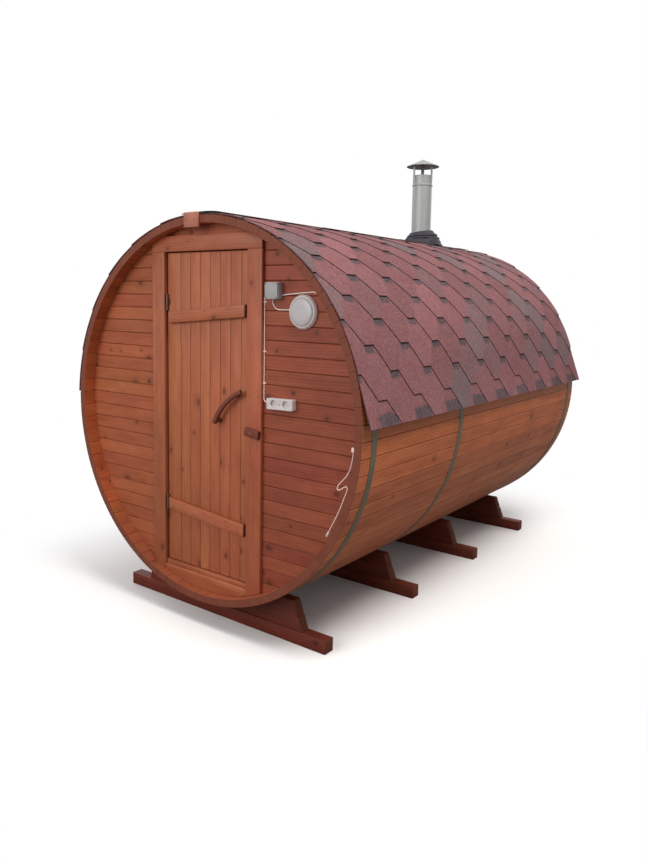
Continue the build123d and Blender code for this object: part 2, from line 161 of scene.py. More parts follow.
class Graph:
    """Adds nodes to one node tree and links them."""

    def __init__(self, tree: bpy.types.NodeTree) -> None:
        """Keeps the tree."""
        self.tree = tree

    def link(self, socket: bpy.types.NodeSocket, value: object) -> None:
        """Feeds an input.

        Args:
            socket: The input.
            value: A field to link, or a plain value to set.
        """
        if isinstance(value, Field):
            self.tree.links.new(value.socket, socket)
        elif isinstance(value, bpy.types.NodeSocket):
            self.tree.links.new(value, socket)
        elif isinstance(value, tuple) and socket.type == "RGBA" and len(value) == 3:
            socket.default_value = (*value, 1.0)
        else:
            socket.default_value = value

    def node(self, kind: str, inputs: dict | None = None, **settings: object) -> bpy.types.Node:
        """Adds a node.

        Args:
            kind: The node's type name.
            inputs: Values or fields by the input's name or place.
            **settings: Properties of the node itself.

        Returns:
            The new node.
        """
        made = self.tree.nodes.new(kind)
        for name, value in settings.items():
            setattr(made, name, value)
        for key, value in (inputs or {}).items():
            self.link(made.inputs[key], value)
        return made

    def out(self, made: bpy.types.Node, key: str | int = 0) -> Field:
        """One output of a node as a field."""
        return Field(self, made.outputs[key])

    def math(self, operation: str, first: Value, second: Value = 0.0, third: Value = 0.0) -> Field:
        """Result of a Math node.

        Args:
            operation: The node's operation.
            first: First value.
            second: Second value.
            third: Third value, where the operation has one.

        Returns:
            The result.
        """
        inputs = {0: first, 1: second, 2: third}
        return self.out(self.node("ShaderNodeMath", inputs, operation=operation))

    def vector(self, x: Value, y: Value, z: Value) -> Field:
        """Vector of three values."""
        return self.out(self.node("ShaderNodeCombineXYZ", {0: x, 1: y, 2: z}))

    def split(self, vector: Field) -> tuple[Field, Field, Field]:
        """The three values of a vector."""
        made = self.node("ShaderNodeSeparateXYZ", {0: vector})
        return self.out(made, 0), self.out(made, 1), self.out(made, 2)

    def noise(self, vector: Field, scale: float, detail: float = 2.0, rough: float = 0.5) -> Field:
        """Noise from about 0 to 1.

        Args:
            vector: Coordinates.
            scale: Size of the pattern.
            detail: Number of finer layers.
            rough: Strength of the finer layers.

        Returns:
            The noise.
        """
        inputs = {"Vector": vector, "Scale": scale, "Detail": detail, "Roughness": rough}
        return self.out(self.node("ShaderNodeTexNoise", inputs))

    def remap(self, value: Value, low: float, high: float, first: float = 0.0, last: float = 1.0) -> Field:
        """Maps a range of a value smoothly to another range.

        Args:
            value: The value.
            low: Start of its range.
            high: End of its range.
            first: Result at the start.
            last: Result at the end.

        Returns:
            The mapped value, held within the new range.
        """
        inputs = {0: value, 1: low, 2: high, 3: first, 4: last}
        return self.out(self.node("ShaderNodeMapRange", inputs, interpolation_type="SMOOTHSTEP"))

    def mix(self, share: Value, first: Field | Colour, second: Field | Colour, blend: str = "MIX") -> Field:
        """Mixes two colours.

        Args:
            share: How much of the second.
            first: First colour.
            second: Second colour.
            blend: Way of mixing.

        Returns:
            The mixed colour.
        """
        inputs = {0: share, 6: first, 7: second}
        made = self.node("ShaderNodeMix", inputs, data_type="RGBA", blend_type=blend, clamp_factor=True)
        return self.out(made, 2)

    def ramp(self, value: Value, stops: Sequence[tuple[float, Colour]]) -> Field:
        """Colour that runs through stops.

        Args:
            value: Place between the stops, 0 to 1.
            stops: Places and their colours.

        Returns:
            The colour.
        """
        made = self.node("ShaderNodeValToRGB", {0: value})
        elements = made.color_ramp.elements
        while len(elements) < len(stops):
            elements.new(0.5)
        for element, (place, colour) in zip(elements, stops):
            element.position = place
            element.color = (*colour, 1.0)
        return self.out(made)

    def place(self) -> Field:
        """Object coordinates, in a material."""
        return self.out(self.node("ShaderNodeTexCoord"), "Object")

    def attribute(self, name: str, key: str = "Fac") -> Field:
        """A named attribute of the mesh, in a material."""
        return self.out(self.node("ShaderNodeAttribute", attribute_name=name), key)


def fresh_graph(owner: bpy.types.Material | bpy.types.World) -> Graph:
    """Empties the node tree of a material or a world.

    Args:
        owner: The material or the world.

    Returns:
        The graph of its tree.
    """
    owner.use_nodes = True
    owner.node_tree.nodes.clear()
    return Graph(owner.node_tree)


@dataclass(frozen=True)
class Finish:
    """A surface finish. Each kind says how its colour, gloss and relief are worked out."""

    name: str

    def material(self) -> bpy.types.Material:
        """The finish's material, made at its first use.

        Returns:
            The material.
        """
        found = bpy.data.materials.get(self.name)
        if found:
            return found
        made = bpy.data.materials.new(self.name)
        graph = fresh_graph(made)
        shader = graph.node("ShaderNodeBsdfPrincipled")
        output = graph.node("ShaderNodeOutputMaterial")
        graph.link(output.inputs["Surface"], shader.outputs[0])
        self.paint(graph, shader)
        return made

    def paint(self, graph: Graph, shader: bpy.types.Node) -> None:
        """Adds the finish's own nodes.

        Args:
            graph: The material's graph.
            shader: Its Principled shader.
        """
        raise NotImplementedError

    def relief(self, graph: Graph, shader: bpy.types.Node, height: Field, depth: float,
               strength: float) -> None:
        """Adds a bump.

        Args:
            graph: The material's graph.
            shader: Its Principled shader.
            height: Relief from 0 to 1.
            depth: Depth of the relief in metres.
            strength: Strength of the bump.
        """
        bump = graph.node("ShaderNodeBump", {"Strength": strength, "Distance": depth, "Height": height})
        graph.link(shader.inputs["Normal"], bump.outputs[0])


@dataclass(frozen=True)
class StainedWood(Finish):
    """Wood whose grain follows each board, read from the mesh's grain and tone attributes."""

    pale: Colour
    deep: Colour
    cut: Colour
    knots: float = 0.3
    spread: float = 0.2
    roughness: float = 0.5
    knot_size: float = 0.015
    joint: float = 0.0
    # inner: strength of the painted shade on inner faces (partly also their unbleached tone) and of the
    # darker, greyer colour towards the bottom
    inner: float = 0.0
    # Colour mixed in towards the bottom: darker and greyer
    low_tint: Colour = srgb(122, 74, 56)

    def paint(self, graph: Graph, shader: bpy.types.Node) -> None:
        """Streaks, growth lines that flow round the knots, fibre, dark joints and a tone for each board;
        where inner is set, painted shade darkens the inner faces and the colour turns darker and greyer
        towards the bottom.

        Args:
            graph: The material's graph.
            shader: Its Principled shader.
        """
        tone = graph.attribute("tone")
        along, across, depth = graph.split(graph.attribute("grain", "Vector"))
        along = along + tone * 37.0
        across = across + tone * 11.0
        cells = graph.node("ShaderNodeTexVoronoi", {"Vector": graph.vector(along, across, 0.0), "Scale": 5.5},
                           voronoi_dimensions="2D", feature="F1")
        dice, luck, _ = graph.split(graph.out(cells, "Color"))
        near = graph.remap(graph.out(cells, "Distance"), 0.62, 0.25)
        middle_along, middle_across, _ = graph.split(graph.out(cells, "Position"))
        reach = along - middle_along
        side = across - middle_across
        wide = dice.below(self.knots) * (0.45 + luck * 0.75) * self.knot_size
        round_off = reach * reach * 0.2 + side * side
        bent = side * (1.0 - near * wide * wide / (round_off + wide * wide * 0.25 + 1e-7)) + middle_across
        far = graph.math("SQRT", reach * reach * 0.6 + side * side)
        ratio = far / (wide + 1e-5)
        knot = graph.remap(ratio, 1.1, 0.6)
        heart = graph.remap(ratio, 0.62, 0.2)
        halo = graph.remap(ratio, 3.4, 0.9)
        slow = graph.noise(graph.vector(along * 0.8, across * 5.0, depth * 5.0), 1.0, 2.0)
        streak_place = graph.vector(along * 1.5, bent * 36.0 + slow * 4.0, depth * 36.0)
        streak = graph.noise(streak_place, 1.0, 5.0, 0.62)
        rings = graph.math("SINE", bent * 420.0 + depth * 150.0 + slow * 24.0) * 0.5 + 0.5
        fibre = graph.noise(graph.vector(along * 16.0, across * 430.0, depth * 430.0), 1.0, 2.0)
        cloud = graph.noise(graph.vector(along * 5.0, bent * 17.0, depth * 17.0), 1.0, 3.0, 0.6)
        figure = streak * 0.34 + cloud * 0.4 + rings * 0.1 + fibre * 0.16
        colour = graph.ramp(graph.remap(figure, 0.26, 0.74), [(0.0, self.deep), (1.0, self.pale)])
        place = graph.place()
        height = graph.split(place)[2]
        weather = graph.noise(place, 2.3, 4.0, 0.6)
        value = 1.0 + (tone - 0.5) * self.spread + (weather - 0.5) * 0.5 - halo * 0.16
        shift = graph.math("FRACT", tone * 7.31)
        hue = 0.5 + (shift - 0.5) * 0.008
        tinted = graph.node("ShaderNodeHueSaturation", {"Hue": hue, "Value": value, "Color": colour})
        dark, warm = scaled(self.deep, 0.3), scaled(self.deep, 0.55)
        colour = graph.mix(knot * 0.75, graph.out(tinted), graph.mix(heart, dark, warm))
        seam = graph.remap(graph.attribute("side").size(), 0.92, 0.985) * (0.45 + streak) * self.joint
        colour = graph.mix(seam, colour, dark)
        # Painted shade of the recess: inner faces made darker and redder, partly also the real unbleached
        # tone of the inner wood
        inside = graph.remap(depth, 0.0, -0.012) * self.inner
        colour = graph.mix(inside, colour, graph.mix(1.0, colour, self.deep, "MULTIPLY"))
        # Darker and greyer towards the bottom, by height, on inner and outer faces alike
        low_tint = graph.remap(height + (weather - 0.5) * 0.3, 0.62, 0.2) * self.inner
        colour = graph.mix(low_tint, colour, self.low_tint)
        end = graph.attribute("end_grain")
        pores = graph.noise(graph.vector(across * 90.0, depth * 90.0, along * 4.0), 1.0, 3.0, 0.7)
        patches = graph.noise(place, 6.0, 3.0, 0.6)
        sawn = graph.mix(pores, scaled(self.cut, 0.66), self.cut)
        sawn = graph.mix(graph.remap(patches, 0.4, 0.75) * 0.5, sawn, scaled(self.cut, 0.6))
        colour = graph.mix(end, colour, sawn)
        graph.link(shader.inputs["Base Color"], colour)
        graph.link(shader.inputs["Roughness"], self.roughness + (0.5 - streak) * 0.3 + end * 0.2)
        shader.inputs["Specular IOR Level"].default_value = 0.25
        self.relief(graph, shader, figure - knot * 0.3, 0.0014, 0.4)


@dataclass(frozen=True)
class Granules(Finish):
    """Mineral granules of the shingles: red, with grey patches, some grey tabs, and a painted shadow below
    each lapping tab edge.
    """

    red: Colour
    ash: Colour
    grey: Colour
    patch: Pair
    strip_patch: tuple[float, float, float]
    pitch: float = TAB_PITCH
    course: float = TAB_COURSE
    flat: float = TAB_FLAT
    drop: float = TAB_DROP
    blur: float = 0.008
    # Darkness and width of the painted shadow below the edges of lapping tabs
    lap_shadow: float = 0.62
    lap_shadow_width: float = 0.0085

    def paint(self, graph: Graph, shader: bpy.types.Node) -> None:
        """Colours each tab from its own coordinates and tone.

        Args:
            graph: The material's graph.
            shader: Its Principled shader.
        """
        along, up, strip = graph.split(graph.attribute("tab", "Vector"))
        tone = graph.attribute("tone")
        place = graph.place()
        cells = graph.node("ShaderNodeTexVoronoi", {"Vector": place, "Scale": 330.0}, feature="F1")
        pick, flash, _ = graph.split(graph.out(cells, "Color"))
        grain = graph.out(cells, "Distance")
        cloud = graph.noise(place, 10.0, 3.0, 0.6)
        drift = graph.noise(place, 46.0, 2.0, 0.5)
        ragged = (drift - 0.5) * 0.02
        wide, tall = self.patch
        blur = self.blur
        top = 2 * self.course
        tab_patch = (graph.remap(along.size() + ragged, wide / 2 + blur, wide / 2 - blur)
                     * graph.remap(up + ragged, top - tall - blur, top - tall + blur))
        left, right, high = self.strip_patch
        strip_patch = (graph.remap(along + ragged, left - blur, left + blur)
                       * graph.remap(along + ragged, right + blur, right - blur)
                       * graph.remap(up + ragged, high + blur, high - blur))
        patch = tab_patch * (1.0 - strip) + strip_patch * strip
        luck = graph.math("FRACT", tone * 17.3)
        whole = graph.remap(luck, 0.56, 0.94) * (1.0 - strip)
        blend = whole * 0.78 + (cloud - 0.4) * 0.7
        step = graph.math("MAXIMUM", (along.size() - self.flat / 2) / (self.pitch / 2 - self.flat), 0.0)
        lap = top - graph.math("MINIMUM", step, 1.0) * self.course - strip * self.drop
        # Painted shadow: a dark band on each sheet just below the edge of the tabs that lap over it
        lap_shadow = graph.remap(lap - up + ragged * 0.1, 0.0, self.lap_shadow_width, self.lap_shadow, 0.0)
        red = graph.mix(drift, scaled(self.red, 0.82), scaled(self.red, 1.16))
        colour = graph.mix(graph.remap(blend - pick, -0.12, 0.12), red, self.ash)
        colour = graph.mix(graph.remap(patch * 0.95 - pick, -0.12, 0.12), colour, self.grey)
        value = 0.7 + flash * 0.5 + (tone - 0.5) * 0.24 - graph.remap(grain, 0.35, 0.75) * 0.25
        value = (value + (cloud - 0.5) * 0.3) * (1.0 - lap_shadow)
        colour = graph.out(graph.node("ShaderNodeHueSaturation", {"Value": value, "Color": colour}))
        pale = graph.math("FRACT", flash * 9.7).above(0.93) * 0.5
        colour = graph.mix(pale, colour, scaled(self.red, 2.0))
        graph.link(shader.inputs["Base Color"], colour)
        shader.inputs["Roughness"].default_value = 0.92
        shader.inputs["Specular IOR Level"].default_value = 0.12
        self.relief(graph, shader, 1.0 - grain, 0.0016, 0.6)


@dataclass(frozen=True)
class Bitumen(Finish):
    """Dark tarry sheet: the shingles' cut edges."""

    colour: Colour

    def paint(self, graph: Graph, shader: bpy.types.Node) -> None:
        """Mottled dark sheet with a fine grain.

        Args:
            graph: The material's graph.
            shader: Its Principled shader.
        """
        place = graph.place()
        mottle = graph.noise(place, 34.0, 4.0, 0.65)
        grain = graph.noise(place, 380.0, 2.0)
        colour = graph.mix(mottle, scaled(self.colour, 0.6), scaled(self.colour, 1.5))
        graph.link(shader.inputs["Base Color"], colour)
        graph.link(shader.inputs["Roughness"], 0.62 + mottle * 0.25)
        self.relief(graph, shader, mottle * 0.6 + grain * 0.4, 0.0015, 0.5)


@dataclass(frozen=True)
class Zinc(Finish):
    """Galvanised sheet that has dulled in the weather, with soft streaks down it."""

    colour: Colour
    metal: float
    roughness: float
    stain: float = 0.25

    def paint(self, graph: Graph, shader: bpy.types.Node) -> None:
        """Spangle, upright streaks and water marks.

        Args:
            graph: The material's graph.
            shader: Its Principled shader.
        """
        place = graph.place()
        x, y, z = graph.split(place)
        streak = graph.noise(graph.vector(x * 42.0, y * 42.0, z * 1.4), 1.0, 3.0, 0.6)
        marks = graph.noise(place, 7.0, 4.0, 0.65)
        spangle = graph.node("ShaderNodeTexVoronoi", {"Vector": place, "Scale": 130.0}, feature="F1")
        flake = graph.split(graph.out(spangle, "Color"))[0]
        value = 0.78 + streak * 0.3 + (marks - 0.5) * self.stain + (flake - 0.5) * 0.08
        tinted = graph.node("ShaderNodeHueSaturation", {"Value": value, "Color": self.colour})
        graph.link(shader.inputs["Base Color"], graph.out(tinted))
        shader.inputs["Metallic"].default_value = self.metal
        graph.link(shader.inputs["Roughness"], self.roughness + (marks - 0.5) * 0.25 + (flake - 0.5) * 0.06)
        self.relief(graph, shader, marks * 0.7 + streak * 0.3, 0.001, 0.2)


@dataclass(frozen=True)
class Moulded(Finish):
    """Moulded plastic or rubber with a fine skin and a little dirt."""

    colour: Colour
    roughness: float
    dirt: float = 0.12
    wrinkle: float = 0.0
    shine: float = 0.5

    def paint(self, graph: Graph, shader: bpy.types.Node) -> None:
        """Fine skin, dirt in soft patches, and wrinkles where it has them.

        Args:
            graph: The material's graph.
            shader: Its Principled shader.
        """
        place = graph.place()
        skin = graph.noise(place, 900.0, 2.0)
        patches = graph.noise(place, 21.0, 4.0, 0.6)
        folds = graph.noise(place, 38.0, 2.0, 0.4)
        soiled = tuple(part * factor for part, factor in zip(self.colour, (0.62, 0.56, 0.5)))
        colour = graph.mix(graph.remap(patches, 0.42, 0.72, 0.0, self.dirt * 2), self.colour, soiled)
        graph.link(shader.inputs["Base Color"], colour)
        graph.link(shader.inputs["Roughness"], self.roughness + (patches - 0.5) * 0.22)
        shader.inputs["Specular IOR Level"].default_value = self.shine
        self.relief(graph, shader, skin * 0.25 + folds * self.wrinkle, 0.0006 + 0.006 * self.wrinkle, 0.35)


class Finishes:
    """Every finish of the sauna, by the word a maker would use."""

    # inner=0.45 sets painted shade on the staves' inner faces and a darker, greyer colour towards the bottom
    STAVES = StainedWood("stave stain", srgb(200, 116, 70), srgb(160, 82, 48), srgb(124, 66, 48),
                         0.15, 0.2, 0.46, joint=0.7, inner=0.45)
    WALL = StainedWood("wall stain", srgb(164, 92, 60), srgb(132, 65, 40), srgb(120, 74, 54),
                       0.6, 0.16, 0.5, joint=0.4)
    SHADE = StainedWood("shaded wall stain", srgb(150, 77, 54), srgb(118, 54, 37), srgb(116, 66, 48),
                        0.5, 0.18, 0.5, joint=0.4)
    TRIM = StainedWood("trim stain", srgb(162, 93, 64), srgb(137, 70, 46), srgb(130, 75, 54),
                       0.25, 0.1, 0.46)
    DOOR = StainedWood("door stain", srgb(172, 101, 68), srgb(140, 73, 46), srgb(126, 72, 52),
                       0.3, 0.14, 0.46, joint=0.42)
    HANDLE = StainedWood("handle stain", srgb(118, 62, 46), srgb(90, 42, 30), srgb(84, 42, 32),
                         0.0, 0.1, 0.4)
    CRADLE = StainedWood("cradle stain", srgb(112, 50, 34), srgb(78, 32, 21), srgb(104, 54, 38),
                         0.2, 0.2, 0.6)
    PLATE = StainedWood("ridge plate wood", srgb(170, 112, 92), srgb(140, 86, 68), srgb(140, 100, 84),
                        0.0, 0.1, 0.6)
    BARE = StainedWood("bare floor wood", srgb(206, 170, 126), srgb(172, 128, 86), srgb(176, 140, 104),
                       0.3, 0.2, 0.6)
    GRANULES = Granules("shingle granules", srgb(134, 89, 92), srgb(106, 94, 96), srgb(84, 74, 78),
                        (0.078, 0.040), (-0.060, 0.105, 0.193))
    EDGE = Bitumen("shingle bitumen", srgb(42, 32, 33))
    ZINC = Zinc("galvanised pipe", srgb(150, 152, 152), 0.4, 0.5)
    HOOP = Zinc("hoop band", srgb(112, 104, 88), 0.4, 0.5, 0.5)
    SCREW = Zinc("screw zinc", srgb(176, 164, 146), 0.7, 0.36)
    BRONZE = Zinc("stained screw", srgb(110, 66, 44), 0.4, 0.45)
    HINGE = Zinc("hinge steel", srgb(104, 60, 46), 0.3, 0.5, 0.3)
    FLASHING = Moulded("flashing rubber", srgb(50, 47, 55), 0.62, 0.2, 0.8, 0.2)
    BOX = Moulded("grey box plastic", srgb(150, 148, 149), 0.46, 0.1)
    WHITE = Moulded("white fitting plastic", srgb(196, 187, 187), 0.42, 0.1)
    OPAL = Moulded("opal lamp cover", srgb(176, 171, 174), 0.3, 0.05)
    SHEATH = Moulded("cable sheath", srgb(222, 202, 196), 0.45, 0.1)
    DARK = Moulded("socket contact", srgb(136, 131, 132), 0.5, 0.1)


def node_box(name: str) -> tuple[Vector, Vector]:
    """Lowest and highest corner of a CAD node."""
    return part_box(name)


def settle(obj: bpy.types.Object, body: Body, slot: Slot, finish: Finish | None,
           *nodes: str) -> bpy.types.Object:
    """Hands a finished piece over to the frame.

    Args:
        obj: The piece.
        body: The body it rides on.
        slot: The record's material slot; not used.
        finish: Its finish, or None where the mesh has its materials.
        *nodes: CAD nodes that it stands for.

    Returns:
        The piece.
    """
    if finish:
        obj.data.materials.clear()
        obj.data.materials.append(finish.material())
    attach(obj, body.value)
    if nodes:
        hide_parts(*nodes)
    LOG.info("%s rides on %s", obj.name, body.value)
    return obj


def add_object(name: str, data: bpy.types.ID) -> bpy.types.Object:
    """New object at the origin for a mesh, curve, lamp or camera.

    Args:
        name: The object's name.
        data: What it shows.

    Returns:
        The object.
    """
    made = bpy.data.objects.new(name, data)
    bpy.context.scene.collection.objects.link(made)
    return made


def discard(obj: bpy.types.Object) -> None:
    """Removes a helper object and its mesh."""
    mesh = obj.data
    bpy.data.objects.remove(obj)
    bpy.data.meshes.remove(mesh)


def keep_result(obj: bpy.types.Object) -> None:
    """Keeps what an object's modifiers make as its plain mesh, and removes them.

    Args:
        obj: The object.
    """
    mesh = bpy.data.meshes.new_from_object(obj.evaluated_get(bpy.context.evaluated_depsgraph_get()))
    obj.modifiers.clear()
    old = obj.data
    obj.data = mesh
    bpy.data.meshes.remove(old)


def shade(mesh: bpy.types.Mesh, angle: float = 38.0) -> None:
    """Smooth shading, with the edges over an angle kept sharp.

    Args:
        mesh: The mesh.
        angle: The angle in degrees.
    """
    mesh.polygons.foreach_set("use_smooth", [True] * len(mesh.polygons))
    mesh.set_sharp_from_angle(angle=math.radians(angle))
    mesh.update()


def absorb(bm: bmesh.types.BMesh, part: bpy.types.Mesh) -> None:
    """Adds a mesh to a bmesh and removes it."""
    bm.from_mesh(part)
    bpy.data.meshes.remove(part)


def mesh_of(bm: bmesh.types.BMesh, name: str) -> bpy.types.Mesh:
    """Turns a bmesh into a mesh and frees it.

    Args:
        bm: The bmesh.
        name: The mesh's name.

    Returns:
        The mesh.
    """
    mesh = bpy.data.meshes.new(name)
    bm.to_mesh(mesh)
    bm.free()
    return mesh


def soften(bm: bmesh.types.BMesh, width: float, segments: int = 2, angle: float = 30.0) -> None:
    """Rounds every edge that turns by more than an angle.

    Args:
        bm: The bmesh.
        width: Width of the rounding in metres.
        segments: Steps across it.
        angle: The angle in degrees.
    """
    limit = math.radians(angle)
    edges = [e for e in bm.edges if e.is_manifold and e.calc_face_angle(0.0) > limit]
    bmesh.ops.bevel(bm, geom=edges, offset=width, offset_type="OFFSET", segments=segments, profile=0.5,
                    affect="EDGES", clamp_overlap=True)


def node_copy(*names: str) -> bmesh.types.BMesh:
    """Merged copy of CAD nodes, with flat areas as single faces.

    Args:
        *names: The nodes.

    Returns:
        The copy.
    """
    bm = bmesh.new()
    for name in names:
        bm.from_mesh(frame["nodes"][name].data)
    bmesh.ops.remove_doubles(bm, verts=bm.verts, dist=1e-5)
    bmesh.ops.dissolve_limit(bm, angle_limit=math.radians(0.6), verts=bm.verts, edges=bm.edges)
    return bm


def islands(mesh: bpy.types.Mesh) -> list[list[int]]:
    """Vertices of each loose part of a mesh.

    Args:
        mesh: The mesh.

    Returns:
        One list of vertex numbers for each loose part.
    """
    near: list[list[int]] = [[] for _ in mesh.vertices]
    for edge in mesh.edges:
        first, second = edge.vertices
        near[first].append(second)
        near[second].append(first)
    seen = [False] * len(near)
    found = []
    for start in range(len(near)):
        if seen[start]:
            continue
        seen[start] = True
        part = [start]
        for vertex in part:
            for other in near[vertex]:
                if not seen[other]:
                    seen[other] = True
                    part.append(other)
        found.append(part)
    return found


Lay = Callable[[Vector], Matrix]


def lay_of(along: Sequence[float], out: Sequence[float]) -> Lay:
    """Lay of boards that all run the same way.

    Args:
        along: Direction of the grain.
        out: Direction that the boards' faces look.

    Returns:
        A function of a board's middle that gives its axes as rows.
    """
    first = Vector(along).normalized()
    third = Vector(out).normalized()
    rows = Matrix((first, third.cross(first), third))
    return lambda middle: rows


def mark_grain(obj: bpy.types.Object, lay: Lay, seed: int) -> None:
    """Gives each loose part of a mesh its own grain, tone and place from side to side, and marks sawn ends.

    Args:
        obj: The piece.
        lay: Gives the axes of a board from its middle.
        seed: Seed of the tones.
    """
    mesh = obj.data
    rng = random.Random(seed)
    grain = [0.0] * (3 * len(mesh.vertices))
    tone = [0.0] * len(mesh.vertices)
    side = [0.0] * len(mesh.vertices)
    along = [Vector()] * len(mesh.vertices)
    for part in islands(mesh):
        middle = sum((mesh.vertices[i].co for i in part), Vector()) / len(part)
        rows = lay(middle)
        shade_value = rng.random()
        for i in part:
            grain[3 * i:3 * i + 3] = rows @ (mesh.vertices[i].co - middle)
            tone[i] = shade_value
            along[i] = rows[0]
        across = [grain[3 * i + 1] for i in part]
        lowest, width = min(across), max(across) - min(across)
        for i, place in zip(part, across):
            side[i] = 2 * (place - lowest) / width - 1
    ends = [float(abs(p.normal.dot(along[p.vertices[0]])) > 0.6) for p in mesh.polygons]
    mesh.attributes.new("grain", "FLOAT_VECTOR", "POINT").data.foreach_set("vector", grain)
    mesh.attributes.new("tone", "FLOAT", "POINT").data.foreach_set("value", tone)
    mesh.attributes.new("side", "FLOAT", "POINT").data.foreach_set("value", side)
    mesh.attributes.new("end_grain", "FLOAT", "FACE").data.foreach_set("value", ends)


@dataclass
class Timber:
    """Pieces of wood that take their shape from CAD nodes and get rounded edges and grain."""

    name: str
    nodes: tuple[str, ...]
    body: Body
    slot: Slot
    finish: Finish
    along: tuple[float, float, float]
    out: tuple[float, float, float]
    rounding: float = 0.003
    seed: int = 1

    def build(self) -> bpy.types.Object:
        """Makes the piece.

        Returns:
            The finished piece.
        """
        bm = node_copy(*self.nodes)
        soften(bm, self.rounding)
        made = add_object(self.name, mesh_of(bm, self.name))
        shade(made.data)
        mark_grain(made, lay_of(self.along, self.out), self.seed)
        return settle(made, self.body, self.slot, self.finish, *self.nodes)


class Recipe:
    """A Geometry Nodes tree with named inputs, and the run that turns it into a plain mesh."""

    KINDS = {
        float: "NodeSocketFloat",
        int: "NodeSocketInt",
        bpy.types.Object: "NodeSocketObject",
        bpy.types.Material: "NodeSocketMaterial",
    }

    def __init__(self, name: str, inputs: dict[str, type]) -> None:
        """Makes the tree with a geometry input, the named inputs and a geometry output.

        Args:
            name: The tree's name.
            inputs: Kind of each named input.
        """
        self.tree = bpy.data.node_groups.new(name, "GeometryNodeTree")
        face = self.tree.interface
        face.new_socket("Geometry", in_out="INPUT", socket_type="NodeSocketGeometry")
        for title, kind in inputs.items():
            face.new_socket(title, in_out="INPUT", socket_type=self.KINDS[kind])
        face.new_socket("Geometry", in_out="OUTPUT", socket_type="NodeSocketGeometry")
        self.graph = Graph(self.tree)
        self.given = self.graph.node("NodeGroupInput")
        self.result = self.graph.node("NodeGroupOutput")

    def input(self, title: str) -> Field:
        """One of the tree's inputs."""
        return self.graph.out(self.given, title)

    def toned(self, instances: Field) -> Field:
        """Gives each instance a random tone and makes it real.

        Args:
            instances: The instances.

        Returns:
            The real geometry.
        """
        graph = self.graph
        dice = graph.node("FunctionNodeRandomValue", {"Seed": self.input("Seed")}, data_type="FLOAT")
        stored = graph.node("GeometryNodeStoreNamedAttribute", {
            "Geometry": instances, "Name": "tone", "Value": graph.out(dice, 1)},
            data_type="FLOAT", domain="INSTANCE")
        return graph.out(graph.node("GeometryNodeRealizeInstances", {0: graph.out(stored)}))

    def end_sheets(self, flat: Field, bent: Field) -> None:
        """Bends flat sheets and closes the tree, with granules on them and bitumen at their cut edges.

        Args:
            flat: The sheets.
            bent: Where each of their points goes.
        """
        graph = self.graph
        curved = graph.out(graph.node("GeometryNodeSetPosition", {"Geometry": flat, "Position": bent}))
        edge = graph.node("GeometryNodeInputNamedAttribute", {"Name": "edge"}, data_type="BOOLEAN")
        self.end(curved, (self.input("Granules"), None), (self.input("Edge"), graph.out(edge)))

    def end(self, geometry: Field, *materials: tuple[object, Field | None]) -> None:
        """Closes the tree with Realize Instances and Set Material.

        Args:
            geometry: What was built.
            *materials: Materials with the faces that each one covers, or None for all.
        """
        shown = self.graph.out(self.graph.node("GeometryNodeRealizeInstances", {0: geometry}))
        for material, faces in materials:
            inputs = {"Geometry": shown, "Material": material}
            if faces:
                inputs["Selection"] = faces
            shown = self.graph.out(self.graph.node("GeometryNodeSetMaterial", inputs))
        self.graph.link(self.result.inputs[0], shown)

    def run(self, obj: bpy.types.Object, values: dict[str, object]) -> bpy.types.Object:
        """Runs the tree on an object and keeps the result as its plain mesh.

        Args:
            obj: Object whose mesh is the tree's geometry input.
            values: Values of the named inputs.

        Returns:
            The object.
        """
        modifier = obj.modifiers.new("Build", "NODES")
        modifier.node_group = self.tree
        for item in self.tree.interface.items_tree:
            if item.item_type == "SOCKET" and item.in_out == "INPUT" and item.name in values:
                modifier[item.identifier] = values[item.name]
        keep_result(obj)
        obj.data.name = obj.name
        return obj


def prism(bm: bmesh.types.BMesh, outline: Sequence[Vector], reach: Vector) -> list[bmesh.types.BMFace]:
    """Adds a solid between an outline and its copy a step away.

    Args:
        bm: The bmesh.
        outline: Corners, counter-clockwise as seen from the far side.
        reach: Step from the outline to its copy.

    Returns:
        The new faces.
    """
    near = [bm.verts.new(corner) for corner in outline]
    far = [bm.verts.new(corner + reach) for corner in outline]
    faces = [bm.faces.new(list(reversed(near))), bm.faces.new(far)]
    for i in range(len(near)):
        j = (i + 1) % len(near)
        faces.append(bm.faces.new((near[i], near[j], far[j], far[i])))
    bmesh.ops.recalc_face_normals(bm, faces=faces)
    return faces


def lathe(profile: Sequence[Pair], spot: Matrix, segments: int = 48) -> bmesh.types.BMesh:
    """Turned solid.

    Args:
        profile: Radii and heights along the axis, from one end to the other.
        spot: Place and direction of the axis, which is its local Z.
        segments: Steps round the axis.

    Returns:
        A closed solid.
    """
    bm = bmesh.new()
    rings = []
    for radius, height in profile:
        if radius == 0.0:
            rings.append([bm.verts.new(spot @ Vector((0, 0, height)))])
            continue
        turns = [math.tau * i / segments for i in range(segments)]
        rings.append([bm.verts.new(spot @ Vector((radius * math.cos(t), radius * math.sin(t), height)))
                      for t in turns])
    for low, high in zip(rings, rings[1:]):
        for i in range(segments):
            j = (i + 1) % segments
            corners = [low[i % len(low)], low[j % len(low)], high[j % len(high)], high[i % len(high)]]
            unique = list(dict.fromkeys(corners))
            if len(unique) > 2:
                bm.faces.new(unique)
    bmesh.ops.recalc_face_normals(bm, faces=bm.faces)
    return bm


